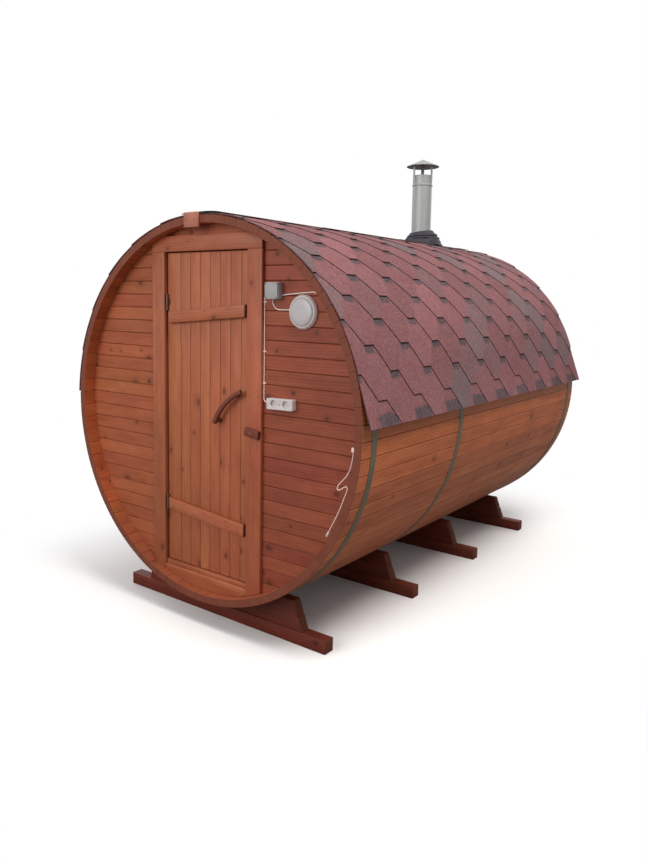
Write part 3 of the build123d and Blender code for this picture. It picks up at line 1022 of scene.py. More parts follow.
@dataclass
class StaveRing:
    """The barrel: staves with eased edges set round the axis, bored for the flue."""

    count: int = 80
    phase: float = -1.5
    thickness: float = 0.042
    easing: float = 0.004
    gap: float = 0.00003
    lip: float = 0.005
    corner: float = 0.002
    ease_depth: float = 0.0016
    end_bevel: float = 0.0015
    hoop_thickness: float = 0.0015
    flue_clearance: float = 0.079
    axis: float = field(init=False)
    radius: float = field(init=False)
    front: float = field(init=False)
    back: float = field(init=False)

    def __post_init__(self) -> None:
        """Takes the barrel's place from the CAD nodes."""
        low, high = node_box("hoops")
        self.axis = (low.z + high.z) / 2
        self.radius = (high.z - low.z) / 2 - self.hoop_thickness
        low, high = node_box("staves_01")
        self.front = low.y
        self.back = high.y

    def nodes(self) -> list[str]:
        """Names of the CAD nodes that the staves stand for."""
        return [f"staves_{i:02d}" for i in range(1, 11)]

    def stave(self) -> bpy.types.Mesh:
        """One stave on the right of the axis, at the middle of its pitch.

        Returns:
            The stave's mesh.
        """
        half = math.pi / self.count
        inner = self.radius - self.thickness
        outer_x = self.radius * math.cos(half)
        inner_x = inner * math.cos(half)
        outer_half = self.radius * math.sin(half) - self.gap
        inner_half = inner * math.sin(half) - self.gap
        lip, corner = self.lip, self.corner
        shoulder = outer_half - lip * (outer_half - inner_half) / self.thickness
        section = [
            (inner_x, -inner_half + corner), (inner_x + corner, -inner_half),
            (outer_x - lip, -shoulder), (outer_x - self.ease_depth, -outer_half + self.easing * 0.45),
            (outer_x, -outer_half + self.easing), (outer_x, outer_half - self.easing),
            (outer_x - self.ease_depth, outer_half - self.easing * 0.45), (outer_x - lip, shoulder),
            (inner_x + corner, inner_half), (inner_x, inner_half - corner),
        ]
        bm = bmesh.new()
        outline = [Vector((x, self.front, z)) for x, z in section]
        prism(bm, outline, Vector((0, self.back - self.front, 0)))
        ends = [e for e in bm.edges if abs(e.verts[0].co.y - e.verts[1].co.y) < 1e-6]
        bmesh.ops.bevel(bm, geom=ends, offset=self.end_bevel, offset_type="OFFSET", segments=1, profile=0.5,
                        affect="EDGES", clamp_overlap=True)
        return mesh_of(bm, "stave")

    def recipe(self) -> Recipe:
        """Tree that sets staves round the axis.

        Returns:
            The recipe.
        """
        made = Recipe("Stave ring", {"Count": int, "Phase": float, "Axis Height": float,
                                     "Stain": bpy.types.Material})
        graph = made.graph
        line = graph.node("GeometryNodeMeshLine", {"Count": made.input("Count")})
        points = graph.node("GeometryNodeSetPosition", {
            "Geometry": graph.out(line),
            "Position": graph.vector(0.0, 0.0, made.input("Axis Height"))})
        index = graph.out(graph.node("GeometryNodeInputIndex"))
        turn = (made.input("Phase") + (index + 0.5) * 360.0 / made.input("Count")) * (math.pi / 180)
        spins = graph.node("GeometryNodeInstanceOnPoints", {
            "Points": graph.out(points), "Instance": made.input("Geometry"),
            "Rotation": graph.vector(0.0, 0.0 - turn, 0.0)})
        made.end(graph.out(spins), (made.input("Stain"), None))
        return made

    def lay(self, middle: Vector) -> Matrix:
        """Axes of the stave that has its middle at a point.

        Args:
            middle: The stave's middle.

        Returns:
            Its axes as rows, along, across and outwards.
        """
        out = Vector((middle.x, 0, middle.z - self.axis)).normalized()
        along = Vector((0, 1, 0))
        return Matrix((along, out.cross(along), out))

    def build(self) -> bpy.types.Object:
        """Makes the ring of staves.

        Returns:
            The finished piece.
        """
        made = add_object("barrel_staves", self.stave())
        values = {"Count": self.count, "Phase": self.phase, "Axis Height": self.axis,
                  "Stain": Finishes.STAVES.material()}
        self.recipe().run(made, values)
        low, high = node_box("flue_pipe")
        middle = (low + high) / 2
        spot = Matrix.Translation((middle.x, middle.y, self.axis))
        drill = lathe([(0, 0), (self.flue_clearance, 0), (self.flue_clearance, 2.0), (0, 2.0)], spot)
        cut_with(made, drill, "DIFFERENCE")
        shade(made.data, 20.0)
        mark_grain(made, self.lay, 3)
        return settle(made, Body.SAUNA, Slot.STAVE, Finishes.STAVES, *self.nodes())


def cut_with(obj: bpy.types.Object, cutter: bmesh.types.BMesh, operation: str) -> None:
    """Cuts a piece with a solid and keeps the result as its mesh.

    Args:
        obj: The piece.
        cutter: The solid, which is freed.
        operation: DIFFERENCE or INTERSECT.
    """
    tool = add_object("cutter", mesh_of(cutter, "cutter"))
    modifier = obj.modifiers.new("Cut", "BOOLEAN")
    modifier.operation = operation
    modifier.solver = "EXACT"
    modifier.object = tool
    keep_result(obj)
    discard(tool)


@dataclass
class BoardWall:
    """End wall of level boards, each cut to the outline of its CAD node."""

    axis: float
    pitch: float = 0.075
    phase: float = 0.033
    easing: float = 0.0035
    gap: float = 0.0004
    inset: float = 0.0002
    reach: float = 1.05

    def board(self, name: str) -> bpy.types.Mesh:
        """One long board with eased edges, its lower edge at no height.

        Args:
            name: CAD node that gives the board's depth.

        Returns:
            The board's mesh.
        """
        low, high = node_box(name)
        front, back = low.y + self.inset, high.y - self.inset
        top = self.pitch - self.gap
        gap, e = self.gap, self.easing
        section = [(front, gap + e), (front + e, gap), (back - e, gap), (back, gap + e),
                   (back, top - e), (back - e, top), (front + e, top), (front, top - e)]
        bm = bmesh.new()
        prism(bm, [Vector((-self.reach, y, z)) for y, z in section], Vector((2 * self.reach, 0, 0)))
        return mesh_of(bm, "wall_board")

    def recipe(self) -> Recipe:
        """Tree that stacks boards and cuts them to an outline.

        Returns:
            The recipe.
        """
        made = Recipe("Board wall", {"Rows": int, "Pitch": float, "Lowest": float,
                                     "Outline": bpy.types.Object, "Stain": bpy.types.Material})
        graph = made.graph
        line = graph.node("GeometryNodeMeshLine", {
            "Count": made.input("Rows"), "Start Location": graph.vector(0.0, 0.0, made.input("Lowest")),
            "Offset": graph.vector(0.0, 0.0, made.input("Pitch"))})
        stack = graph.node("GeometryNodeInstanceOnPoints", {
            "Points": graph.out(line), "Instance": made.input("Geometry")})
        rows = graph.out(graph.node("GeometryNodeRealizeInstances", {0: graph.out(stack)}))
        outline = graph.node("GeometryNodeObjectInfo", {"Object": made.input("Outline")})
        cut = graph.node("GeometryNodeMeshBoolean", operation="INTERSECT", solver="EXACT")
        graph.link(cut.inputs["Mesh 2"], rows)
        graph.link(cut.inputs["Mesh 2"], outline.outputs["Geometry"])
        made.end(graph.out(cut), (made.input("Stain"), None))
        return made

    def build(self) -> list[bpy.types.Object]:
        """Makes the boards of every wall piece.

        Returns:
            The finished pieces.
        """
        made = []
        recipe = self.recipe()
        names = ("front_wall_left", "front_wall_right", "front_wall_top", "front_wall_sill", "back_wall")
        for seed, name in enumerate(names):
            bm = node_copy(name)
            outline = add_object("outline", mesh_of(bm, "outline"))
            rows = math.ceil(2 * self.reach / self.pitch) + 1
            lowest = self.axis + self.phase - self.pitch * math.ceil((self.reach + self.phase) / self.pitch)
            boards = add_object(name + "_boards", self.board(name))
            recipe.run(boards, {"Rows": rows, "Pitch": self.pitch, "Lowest": lowest, "Outline": outline,
                                "Stain": Finishes.WALL.material()})
            discard(outline)
            shade(boards.data, 20.0)
            out = (0, 1, 0) if name == "back_wall" else (0, -1, 0)
            mark_grain(boards, lay_of((1, 0, 0), out), 20 + seed)
            finish = Finishes.SHADE if name == "front_wall_right" else Finishes.WALL
            made.append(settle(boards, Body.SAUNA, Slot.STAINED, finish, name))
        return made


@dataclass
class PlankDoor:
    """Door leaf of upright planks with eased edges."""

    first: float = 0.106
    pitch: float = 0.076
    easing: float = 0.003
    gap: float = 0.0008
    narrowest: float = 0.01

    def build(self) -> bpy.types.Object:
        """Makes the leaf.

        Returns:
            The finished piece.
        """
        low, high = node_box("door_leaf")
        sides = [low.x, low.x + self.first]
        while sides[-1] + self.pitch < high.x - self.narrowest:
            sides.append(sides[-1] + self.pitch)
        sides.append(high.x)
        bm = bmesh.new()
        for left, right in zip(sides, sides[1:]):
            corners = [(left + self.gap / 2, low.z), (right - self.gap / 2, low.z),
                       (right - self.gap / 2, high.z), (left + self.gap / 2, high.z)]
            prism(bm, [Vector((x, low.y, z)) for x, z in corners], Vector((0, high.y - low.y, 0)))
        soften(bm, self.easing)
        made = add_object("door_planks", mesh_of(bm, "door_planks"))
        shade(made.data, 30.0)
        mark_grain(made, lay_of((0, 0, 1), (0, -1, 0)), 41)
        return settle(made, Body.DOOR, Slot.DOOR, Finishes.DOOR, "door_leaf")


@dataclass
class ShingleRoof:
    """Shingles with six-sided tabs, laid from the eaves to the crown."""

    axis: float
    front: float
    back: float
    pitch: float = TAB_PITCH
    course: float = TAB_COURSE
    flat: float = TAB_FLAT
    thickness: float = 0.0036
    headlap: float = 0.030
    courses: int = 12
    first: float = -0.015
    drop: float = TAB_DROP
    spring: float = math.radians(17.2)
    eave: float = 0.288
    skin: float = 0.006
    joint: float = 0.0004
    bed: float = 0.0002
    radius: float = field(init=False)

    def __post_init__(self) -> None:
        """Takes the radius that the shingles lie on from the inside of the roof skin."""
        self.radius = node_box("roof_skin")[1].z - self.axis - self.skin + self.bed

    def lift(self, up: float) -> float:
        """Height of a sheet's underside over the deck.

        Args:
            up: Distance up from the sheet's lower edge.

        Returns:
            The height in metres.
        """
        return max(0.0, self.thickness * (2 - up / self.course))

    def sheet(self, tabs: bool) -> bpy.types.Mesh:
        """One pitch of a shingle, flat: along the ridge in X, up the roof in Y.

        Args:
            tabs: Whether it has its tab, or is the plain strip at the eaves.

        Returns:
            The sheet's mesh, with its own coordinates and its cut edges marked.
        """
        half = self.pitch / 2 - self.joint
        wide = (self.pitch - self.flat) / 2
        top = 2 * self.course + self.headlap
        rows: list[tuple[float, list[float]]] = []
        if tabs:
            rows += [(0.0, [-self.flat / 2, self.flat / 2]),
                     (self.course / 2, [-(self.flat / 2 + wide) / 2, (self.flat / 2 + wide) / 2])]
        body = [self.course, 1.35 * self.course, 1.7 * self.course, 2 * self.course, top]
        bm = bmesh.new()
        marks = bm.faces.layers.bool.new("edge")

        def corner(x: float, y: float, upper: bool) -> bmesh.types.BMVert:
            """Corner on the sheet's upper or lower side."""
            low = 0.0 if not tabs else self.lift(y)
            return bm.verts.new((x, y, self.lift(y) + self.thickness if upper else low))

        for upper in (True, False):
            lines = [[corner(x, y, upper) for x in xs] for y, xs in rows]
            start = [-half, -wide, wide, half] if tabs else [-half, half]
            lines_body = [[corner(x, body[0], upper) for x in start]]
            lines_body += [[corner(x, y, upper) for x in (-half, half)] for y in body[1:]]
            if tabs:
                lines.append(lines_body[0][1:3])
            faces = [a + list(reversed(b)) for a, b in zip(lines, lines[1:])]
            faces += [a + list(reversed(b)) for a, b in zip(lines_body, lines_body[1:])]
            for corners in faces:
                bm.faces.new(corners if upper else list(reversed(corners)))[marks] = not upper
        rim = [e for e in bm.edges if e.is_boundary]
        uppers = {round(v.co.x, 6) + 1000 * round(v.co.y, 6): v for v in bm.verts
                  if abs(v.co.z - self.lift(v.co.y) - self.thickness) < 1e-7}
        lowers = {round(v.co.x, 6) + 1000 * round(v.co.y, 6): v for v in bm.verts if v not in uppers.values()}
        for edge in rim:
            first, second = edge.verts
            if first not in uppers.values() or second not in uppers.values():
                continue
            keys = [round(v.co.x, 6) + 1000 * round(v.co.y, 6) for v in (first, second)]
            bm.faces.new((first, second, lowers[keys[1]], lowers[keys[0]]))[marks] = True
        bmesh.ops.recalc_face_normals(bm, faces=bm.faces)
        mesh = mesh_of(bm, "shingle_tab" if tabs else "starter_strip")
        place = [part for v in mesh.vertices for part in (v.co.x, v.co.y, 0.0 if tabs else 1.0)]
        mesh.attributes.new("tab", "FLOAT_VECTOR", "POINT").data.foreach_set("vector", place)
        return mesh

    def recipe(self) -> Recipe:
        """Tree that lays the courses flat and bends them over the eave and the barrel.

        Returns:
            The recipe.
        """
        made = Recipe("Shingle courses", {
            "Strip": bpy.types.Object, "Per Course": int, "Courses": int, "Pitch": float, "Course": float,
            "Start": float, "Drop": float, "Eave": float, "Spring": float, "Radius": float,
            "Axis Height": float, "Seed": int, "Granules": bpy.types.Material, "Edge": bpy.types.Material})
        graph = made.graph
        pitch, course = made.input("Pitch"), made.input("Course")
        many, rows = made.input("Per Course"), made.input("Courses")
        count = graph.math("MULTIPLY", many, rows)
        points = graph.node("GeometryNodePoints", {"Count": count})
        index = graph.out(graph.node("GeometryNodeInputIndex"))
        row = graph.math("FLOOR", (index + 0.5) / many)
        place = index - row * many
        odd = graph.math("MODULO", row, 2.0)
        at = graph.vector(made.input("Start") + (place + odd * 0.5) * pitch,
                          row * course - made.input("Drop"), 0.0)
        laid = graph.node("GeometryNodeSetPosition", {"Geometry": graph.out(points), "Position": at})
        tabs = graph.node("GeometryNodeInstanceOnPoints", {
            "Points": graph.out(laid), "Instance": made.input("Geometry")})
        below = graph.node("GeometryNodePoints", {"Count": many})
        low = graph.vector(made.input("Start") + (index + 0.5) * pitch, 0.0 - course, 0.0)
        base = graph.node("GeometryNodeSetPosition", {"Geometry": graph.out(below), "Position": low})
        strip = graph.node("GeometryNodeObjectInfo", {"Object": made.input("Strip")})
        strips = graph.node("GeometryNodeInstanceOnPoints", {
            "Points": graph.out(base), "Instance": graph.out(strip, "Geometry")})
        both = graph.node("GeometryNodeJoinGeometry")
        graph.link(both.inputs[0], graph.out(strips))
        graph.link(both.inputs[0], graph.out(tabs))
        flat = made.toned(graph.out(both))
        along, up, high = graph.split(graph.out(graph.node("GeometryNodeInputPosition")))
        over = up - made.input("Eave")
        angle = made.input("Spring") + graph.math("MAXIMUM", over, 0.0) / made.input("Radius")
        straight = graph.math("MINIMUM", over, 0.0)
        far = made.input("Radius") + high
        sine, cosine = graph.math("SINE", angle), graph.math("COSINE", angle)
        bent = graph.vector(far * cosine - straight * sine, along,
                            made.input("Axis Height") + far * sine + straight * cosine)
        made.end_sheets(flat, bent)
        return made

    def trim(self, obj: bpy.types.Object, planes: Iterable[tuple[Vector, Vector]]) -> None:
        """Cuts what lies beyond planes off a mesh of closed sheets, and closes the cuts.

        Args:
            obj: The piece.
            planes: A point and an outward direction for each plane.
        """
        bm = bmesh.new()
        bm.from_mesh(obj.data)
        for point, out in planes:
            geometry = bm.verts[:] + bm.edges[:] + bm.faces[:]
            cut = bmesh.ops.bisect_plane(bm, geom=geometry, dist=1e-6, plane_co=point, plane_no=out,
                                         clear_outer=True)
            open_edges = [e for e in cut["geom_cut"] if isinstance(e, bmesh.types.BMEdge) and e.is_boundary]
            filled = bmesh.ops.holes_fill(bm, edges=open_edges, sides=0)
            for face in filled["faces"]:
                face.material_index = 1
        bmesh.ops.recalc_face_normals(bm, faces=bm.faces)
        bm.to_mesh(obj.data)
        bm.free()

    def slope(self, recipe: Recipe, eave: float, spring: float, seed: int) -> bpy.types.Object:
        """One slope of the roof, on the right of the crown.

        Args:
            recipe: The tree.
            eave: Length that runs straight on below the spring line.
            spring: Angle of the spring line.
            seed: Seed of the tones.

        Returns:
            The slope, trimmed to the barrel's ends and the crown.
        """
        made = add_object("roof_shingles", self.sheet(True))
        strip = add_object("strip", self.sheet(False))
        many = math.ceil((self.back - self.front) / self.pitch) + 3
        recipe.run(made, {
            "Strip": strip, "Per Course": many, "Courses": self.courses, "Pitch": self.pitch,
            "Course": self.course, "Start": self.front + self.first - self.pitch, "Drop": self.drop,
            "Eave": eave, "Spring": spring, "Radius": self.radius, "Axis Height": self.axis, "Seed": seed,
            "Granules": Finishes.GRANULES.material(), "Edge": Finishes.EDGE.material()})
        discard(strip)
        sine, cosine = math.sin(spring), math.cos(spring)
        edge = Vector((self.radius * cosine + eave * sine, 0, self.axis + self.radius * sine - eave * cosine))
        self.trim(made, [
            (edge, Vector((sine, 0, -cosine))),
            (Vector((0, self.front, 0)), Vector((0, -1, 0))),
            (Vector((0, self.back, 0)), Vector((0, 1, 0))),
            (Vector((self.joint, 0, 0)), Vector((-1, 0, 0)))])
        return made

    def build(self) -> bpy.types.Object:
        """Makes both slopes: the right eave stands off, the left one hugs the staves.

        Returns:
            The finished piece.
        """
        recipe = self.recipe()
        made = self.slope(recipe, self.eave, self.spring, 5)
        hugging = self.spring - self.eave / (self.radius + self.skin)
        left = self.slope(recipe, 0.0, hugging, 6)
        left.data.transform(Matrix.Rotation(math.pi, 4, "Z"))
        bm = bmesh.new()
        bm.from_mesh(made.data)
        bm.from_mesh(left.data)
        bm.to_mesh(made.data)
        bm.free()
        discard(left)
        shade(made.data, 20.0)
        return settle(made, Body.SAUNA, Slot.SHINGLE, None, "roof_skin", "eave_right", "eave_left")


@dataclass
class RidgeCaps:
    """Caps that lap over each other along the crown of the roof."""

    axis: float
    radius: float
    front: float
    back: float
    width: float = 0.260
    length: float = 0.990
    exposed: float = 0.930
    thickness: float = 0.0030
    bed: float = 0.0066
    fall: float = 0.027
    steps: int = 6
    tab_place: float = 0.05

    def cap(self) -> bpy.types.Mesh:
        """One flat cap, lifted where it laps the next one.

        Returns:
            The cap's mesh with its own coordinates and its cut edges marked.
        """
        bm = bmesh.new()
        marks = bm.faces.layers.bool.new("edge")
        steps = self.steps
        across = [self.width * (i / steps - 0.5) for i in range(steps + 1)]
        rows = []
        for y, low in ((0.0, self.thickness), (self.length, 0.0)):
            rows.append([(bm.verts.new((x, y, low + self.thickness)), bm.verts.new((x, y, low)))
                         for x in across])
        near, far = rows
        for i in range(steps):
            a, b, c, d = near[i], near[i + 1], far[i + 1], far[i]
            bm.faces.new((a[0], b[0], c[0], d[0]))
            bm.faces.new((d[1], c[1], b[1], a[1]))[marks] = True
            bm.faces.new((a[1], b[1], b[0], a[0]))[marks] = True
            bm.faces.new((d[0], c[0], c[1], d[1]))[marks] = True
        for a, d in ((near[0], far[0]), (near[-1], far[-1])):
            bm.faces.new((a[0], d[0], d[1], a[1]))
        bmesh.ops.recalc_face_normals(bm, faces=bm.faces)
        mesh = mesh_of(bm, "ridge_cap")
        place = [part for v in mesh.vertices for part in (v.co.y, self.tab_place, 0.0)]
        mesh.attributes.new("tab", "FLOAT_VECTOR", "POINT").data.foreach_set("vector", place)
        return mesh

    def recipe(self) -> Recipe:
        """Tree that lays the caps in a row and bends them over the crown.

        Returns:
            The recipe.
        """
        made = Recipe("Ridge caps", {
            "Count": int, "Exposed": float, "Start": float, "Radius": float, "Fall": float,
            "Axis Height": float, "Seed": int, "Granules": bpy.types.Material, "Edge": bpy.types.Material})
        graph = made.graph
        line = graph.node("GeometryNodeMeshLine", {
            "Count": made.input("Count"), "Start Location": graph.vector(0.0, made.input("Start"), 0.0),
            "Offset": graph.vector(0.0, made.input("Exposed"), 0.0)})
        caps = graph.node("GeometryNodeInstanceOnPoints", {
            "Points": graph.out(line), "Instance": made.input("Geometry")})
        flat = made.toned(graph.out(caps))
        across, along, high = graph.split(graph.out(graph.node("GeometryNodeInputPosition")))
        angle = across / made.input("Radius")
        far = made.input("Radius") + high + across.size() * made.input("Fall")
        bent = graph.vector(far * graph.math("SINE", angle), along,
                            made.input("Axis Height") + far * graph.math("COSINE", angle))
        made.end_sheets(flat, bent)
        return made

    def build(self, roof: ShingleRoof) -> bpy.types.Object:
        """Makes the row of caps.

        Args:
            roof: The roof that they cover, which trims their ends.

        Returns:
            The finished piece.
        """
        made = add_object("ridge_caps", self.cap())
        count = math.ceil((self.back - self.front) / self.exposed) + 1
        self.recipe().run(made, {
            "Count": count, "Exposed": self.exposed, "Start": self.front, "Radius": self.radius + self.bed,
            "Fall": self.fall, "Axis Height": self.axis, "Seed": 9, "Granules": Finishes.GRANULES.material(),
            "Edge": Finishes.EDGE.material()})
        roof.trim(made, [(Vector((0, self.back, 0)), Vector((0, 1, 0)))])
        shade(made.data, 20.0)
        return settle(made, Body.SAUNA, Slot.SHINGLE, None)


@dataclass
class Flue:
    """Wrinkled flashing at the roof, and the seam of the pipe."""

    axis: float
    roof_radius: float
    base: float = 0.160
    neck: float = 0.086
    height: float = 0.116
    segments: int = 72
    folds: tuple[Pair, ...] = (
        (0.0, 0.006), (0.0, 0.010), (0.1, 0.0), (0.22, 0.005), (0.34, -0.005), (0.46, 0.005), (0.58, -0.005),
        (0.64, 0.004), (0.76, 0.004), (0.8, -0.002), (0.92, 0.001), (1.0, 0.001), (1.0, -0.003))
    waves: Pair = (0.0022, 0.0014)
    flank: float = 0.72
    flank_swing: float = 0.5
    flank_turn: float = 0.64
    slant: float = 0.012
    slant_turn: float = 0.6
    sole: float = 0.0145
    seat: float = 0.0005
    pipe_gap: float = 0.0003
    bead: Pair = (0.0045, 0.006)
    bead_shoulder: float = 0.0035
    bead_drop: float = 0.075
    seam_half: float = 0.007
    seam_rise: float = 0.002
    seam_sunk: float = 0.0006
    seam_start: float = 0.004
    seam_drop: float = 0.09

    def flashing(self) -> bpy.types.Object:
        """Rubber cone in soft folds, cut to the roof's round, with a slanted upper edge.

        Returns:
            The finished piece.
        """
        low, high = node_box("flue_pipe")
        middle = (low + high) / 2
        pipe = (high.x - low.x) / 2
        bm = bmesh.new()
        rings = []
        for step, (share, swell) in enumerate(self.folds):
            ring = []
            for i in range(self.segments):
                turn = math.tau * i / self.segments
                wave = (self.waves[0] * math.sin(5 * turn + step)
                        + self.waves[1] * math.sin(9 * turn - 2 * step))
                curve = share ** (self.flank + self.flank_swing * (1 + math.cos(turn - self.flank_turn)))
                radius = self.base + (self.neck - self.base) * curve + swell + wave * (1 - share)
                x, y = radius * math.cos(turn), radius * math.sin(turn)
                foot = math.sqrt(self.roof_radius ** 2 - x * x) + (self.sole if step else self.seat)
                slant = self.slant * math.cos(turn - self.slant_turn)
                top = self.roof_radius + self.height + slant - self.slant
                rise = self.axis + foot + (top - foot) * share
                ring.append(bm.verts.new((middle.x + x, middle.y + y, rise)))
            rings.append(ring)
        for share in (1, 0):
            ring = []
            for i in range(self.segments):
                turn = math.tau * i / self.segments
                x, y = (pipe + self.pipe_gap) * math.cos(turn), (pipe + self.pipe_gap) * math.sin(turn)
                source = rings[-1 if share else 0][i].co.z
                foot = self.axis + math.sqrt(self.roof_radius ** 2 - x * x) + self.seat
                ring.append(bm.verts.new((middle.x + x, middle.y + y, source if share else foot)))
            rings.append(ring)
        rings.append(rings[0])
        for below, above in zip(rings, rings[1:]):
            for i in range(self.segments):
                j = (i + 1) % self.segments
                bm.faces.new((below[i], below[j], above[j], above[i]))
        bmesh.ops.recalc_face_normals(bm, faces=bm.faces)
        made = add_object("flashing_cone", mesh_of(bm, "flashing_cone"))
        shade(made.data, 60.0)
        return settle(made, Body.SAUNA, Slot.RUBBER, Finishes.FLASHING, "flue_flashing")

    def seam(self) -> bpy.types.Object:
        """Folded seam down the back of the pipe, and a rolled bead round its upper end.

        Returns:
            The finished piece.
        """
        low, high = node_box("flue_pipe")
        middle = (low + high) / 2
        pipe = (high.x - low.x) / 2
        foot = self.axis + self.roof_radius + self.height + self.seam_start
        rise, half_bead = self.bead
        edge = self.bead_shoulder
        bm = lathe([(pipe, -half_bead), (pipe + edge, -edge), (pipe + rise, 0.0), (pipe + edge, edge),
                    (pipe, half_bead), (pipe, -half_bead)],
                   Matrix.Translation((middle.x, middle.y, high.z - self.bead_drop)), 64)
        half = self.seam_half
        inner = middle.y + pipe - self.seam_sunk
        outer = middle.y + pipe + self.seam_rise
        corners = [Vector((middle.x - half, inner, foot)), Vector((middle.x + half, inner, foot)),
                   Vector((middle.x + half * 0.7, outer, foot)), Vector((middle.x - half * 0.7, outer, foot))]
        prism(bm, corners, Vector((0, 0, high.z - self.seam_drop - foot)))
        made = add_object("flue_seam", mesh_of(bm, "flue_seam"))
        shade(made.data)
        return settle(made, Body.SAUNA, Slot.STEEL, Finishes.ZINC)


@dataclass
class Fittings:
    """Wall light, junction box and socket box."""

    light_radius: float = 0.085
    dome_radius: float = 0.070
    socket_tilt: float = math.radians(1.5)
    socket_reach: float = 0.039
    pin_reach: float = 0.0095
    recess: float = 0.012

    def facing(self, x: float, z: float, y: float) -> Matrix:
        """Place of a turned piece on the wall, with its axis out of the wall.

        Args:
            x: Place across.
            z: Height.
            y: Depth of its back.

        Returns:
            The matrix.
        """
        return Matrix.Translation((x, y, z)) @ Matrix.Rotation(math.pi / 2, 4, "X")

    def light(self) -> bpy.types.Object:
        """Round bulkhead light: a rim, a groove and a shallow domed cover.

        Returns:
            The finished piece.
        """
        low, high = node_box("wall_light")
        spot = self.facing((low.x + high.x) / 2, (low.z + high.z) / 2, high.y)
        r, d = self.light_radius, self.dome_radius
        depth = high.y - low.y
        rim = lathe([(0, 0.0002), (r - 0.001, 0.0002), (r, 0.0015), (r, 0.007), (r - 0.002, 0.0115),
                     (r - 0.0055, 0.0175), (r - 0.009, 0.0215), (d + 0.003, 0.0225), (d + 0.001, 0.0222),
                     (d + 0.0004, 0.0212), (0, 0.0212)], spot, 72)
        made = add_object("light_rim", mesh_of(rim, "light_rim"))
        shade(made.data, 50.0)
        settle(made, Body.SAUNA, Slot.WHITE, Finishes.WHITE, "wall_light")
        cover = lathe([(0, 0.0214), (d - 0.0004, 0.0214), (d - 0.0008, 0.0232), (d - 0.005, 0.0266),
                       (d * 0.82, 0.0292), (d * 0.5, depth - 0.0002), (0, depth)], spot, 72)
        dome = add_object("light_cover", mesh_of(cover, "light_cover"))
        shade(dome.data, 60.0)
        return settle(dome, Body.SAUNA, Slot.WHITE, Finishes.OPAL)

    def boxes(self) -> None:
        """Junction box and socket box, with rounded edges and contacts."""
        for name, node, slot, finish, round_off in (
                ("junction_box_shell", "junction_box", Slot.GREY, Finishes.BOX, 0.0025),
                ("socket_box_shell", "socket_box", Slot.WHITE, Finishes.WHITE, 0.003)):
            bm = node_copy(node)
            soften(bm, round_off, 3)
            made = add_object(name, mesh_of(bm, name))
            shade(made.data)
            settle(made, Body.SAUNA, slot, finish, node)
        low, high = node_box("socket_box")
        middle = (low + high) / 2
        bm = bmesh.new()
        for side in (-1, 1):
            for pin in (-self.pin_reach, self.pin_reach):
                reach = side * self.socket_reach + pin
                x = middle.x + reach * math.cos(self.socket_tilt)
                z = middle.z + reach * math.sin(self.socket_tilt)
                hole = lathe([(0, 0), (0.0026, 0), (0.0026, 0.0006), (0.0016, 0.0009), (0, 0.0006)],
                             self.facing(x, z, low.y + self.recess), 12)
                absorb(bm, mesh_of(hole, "contact"))
        made = add_object("socket_contacts", mesh_of(bm, "socket_contacts"))
        shade(made.data)
        settle(made, Body.SAUNA, Slot.WHITE, Finishes.DARK)


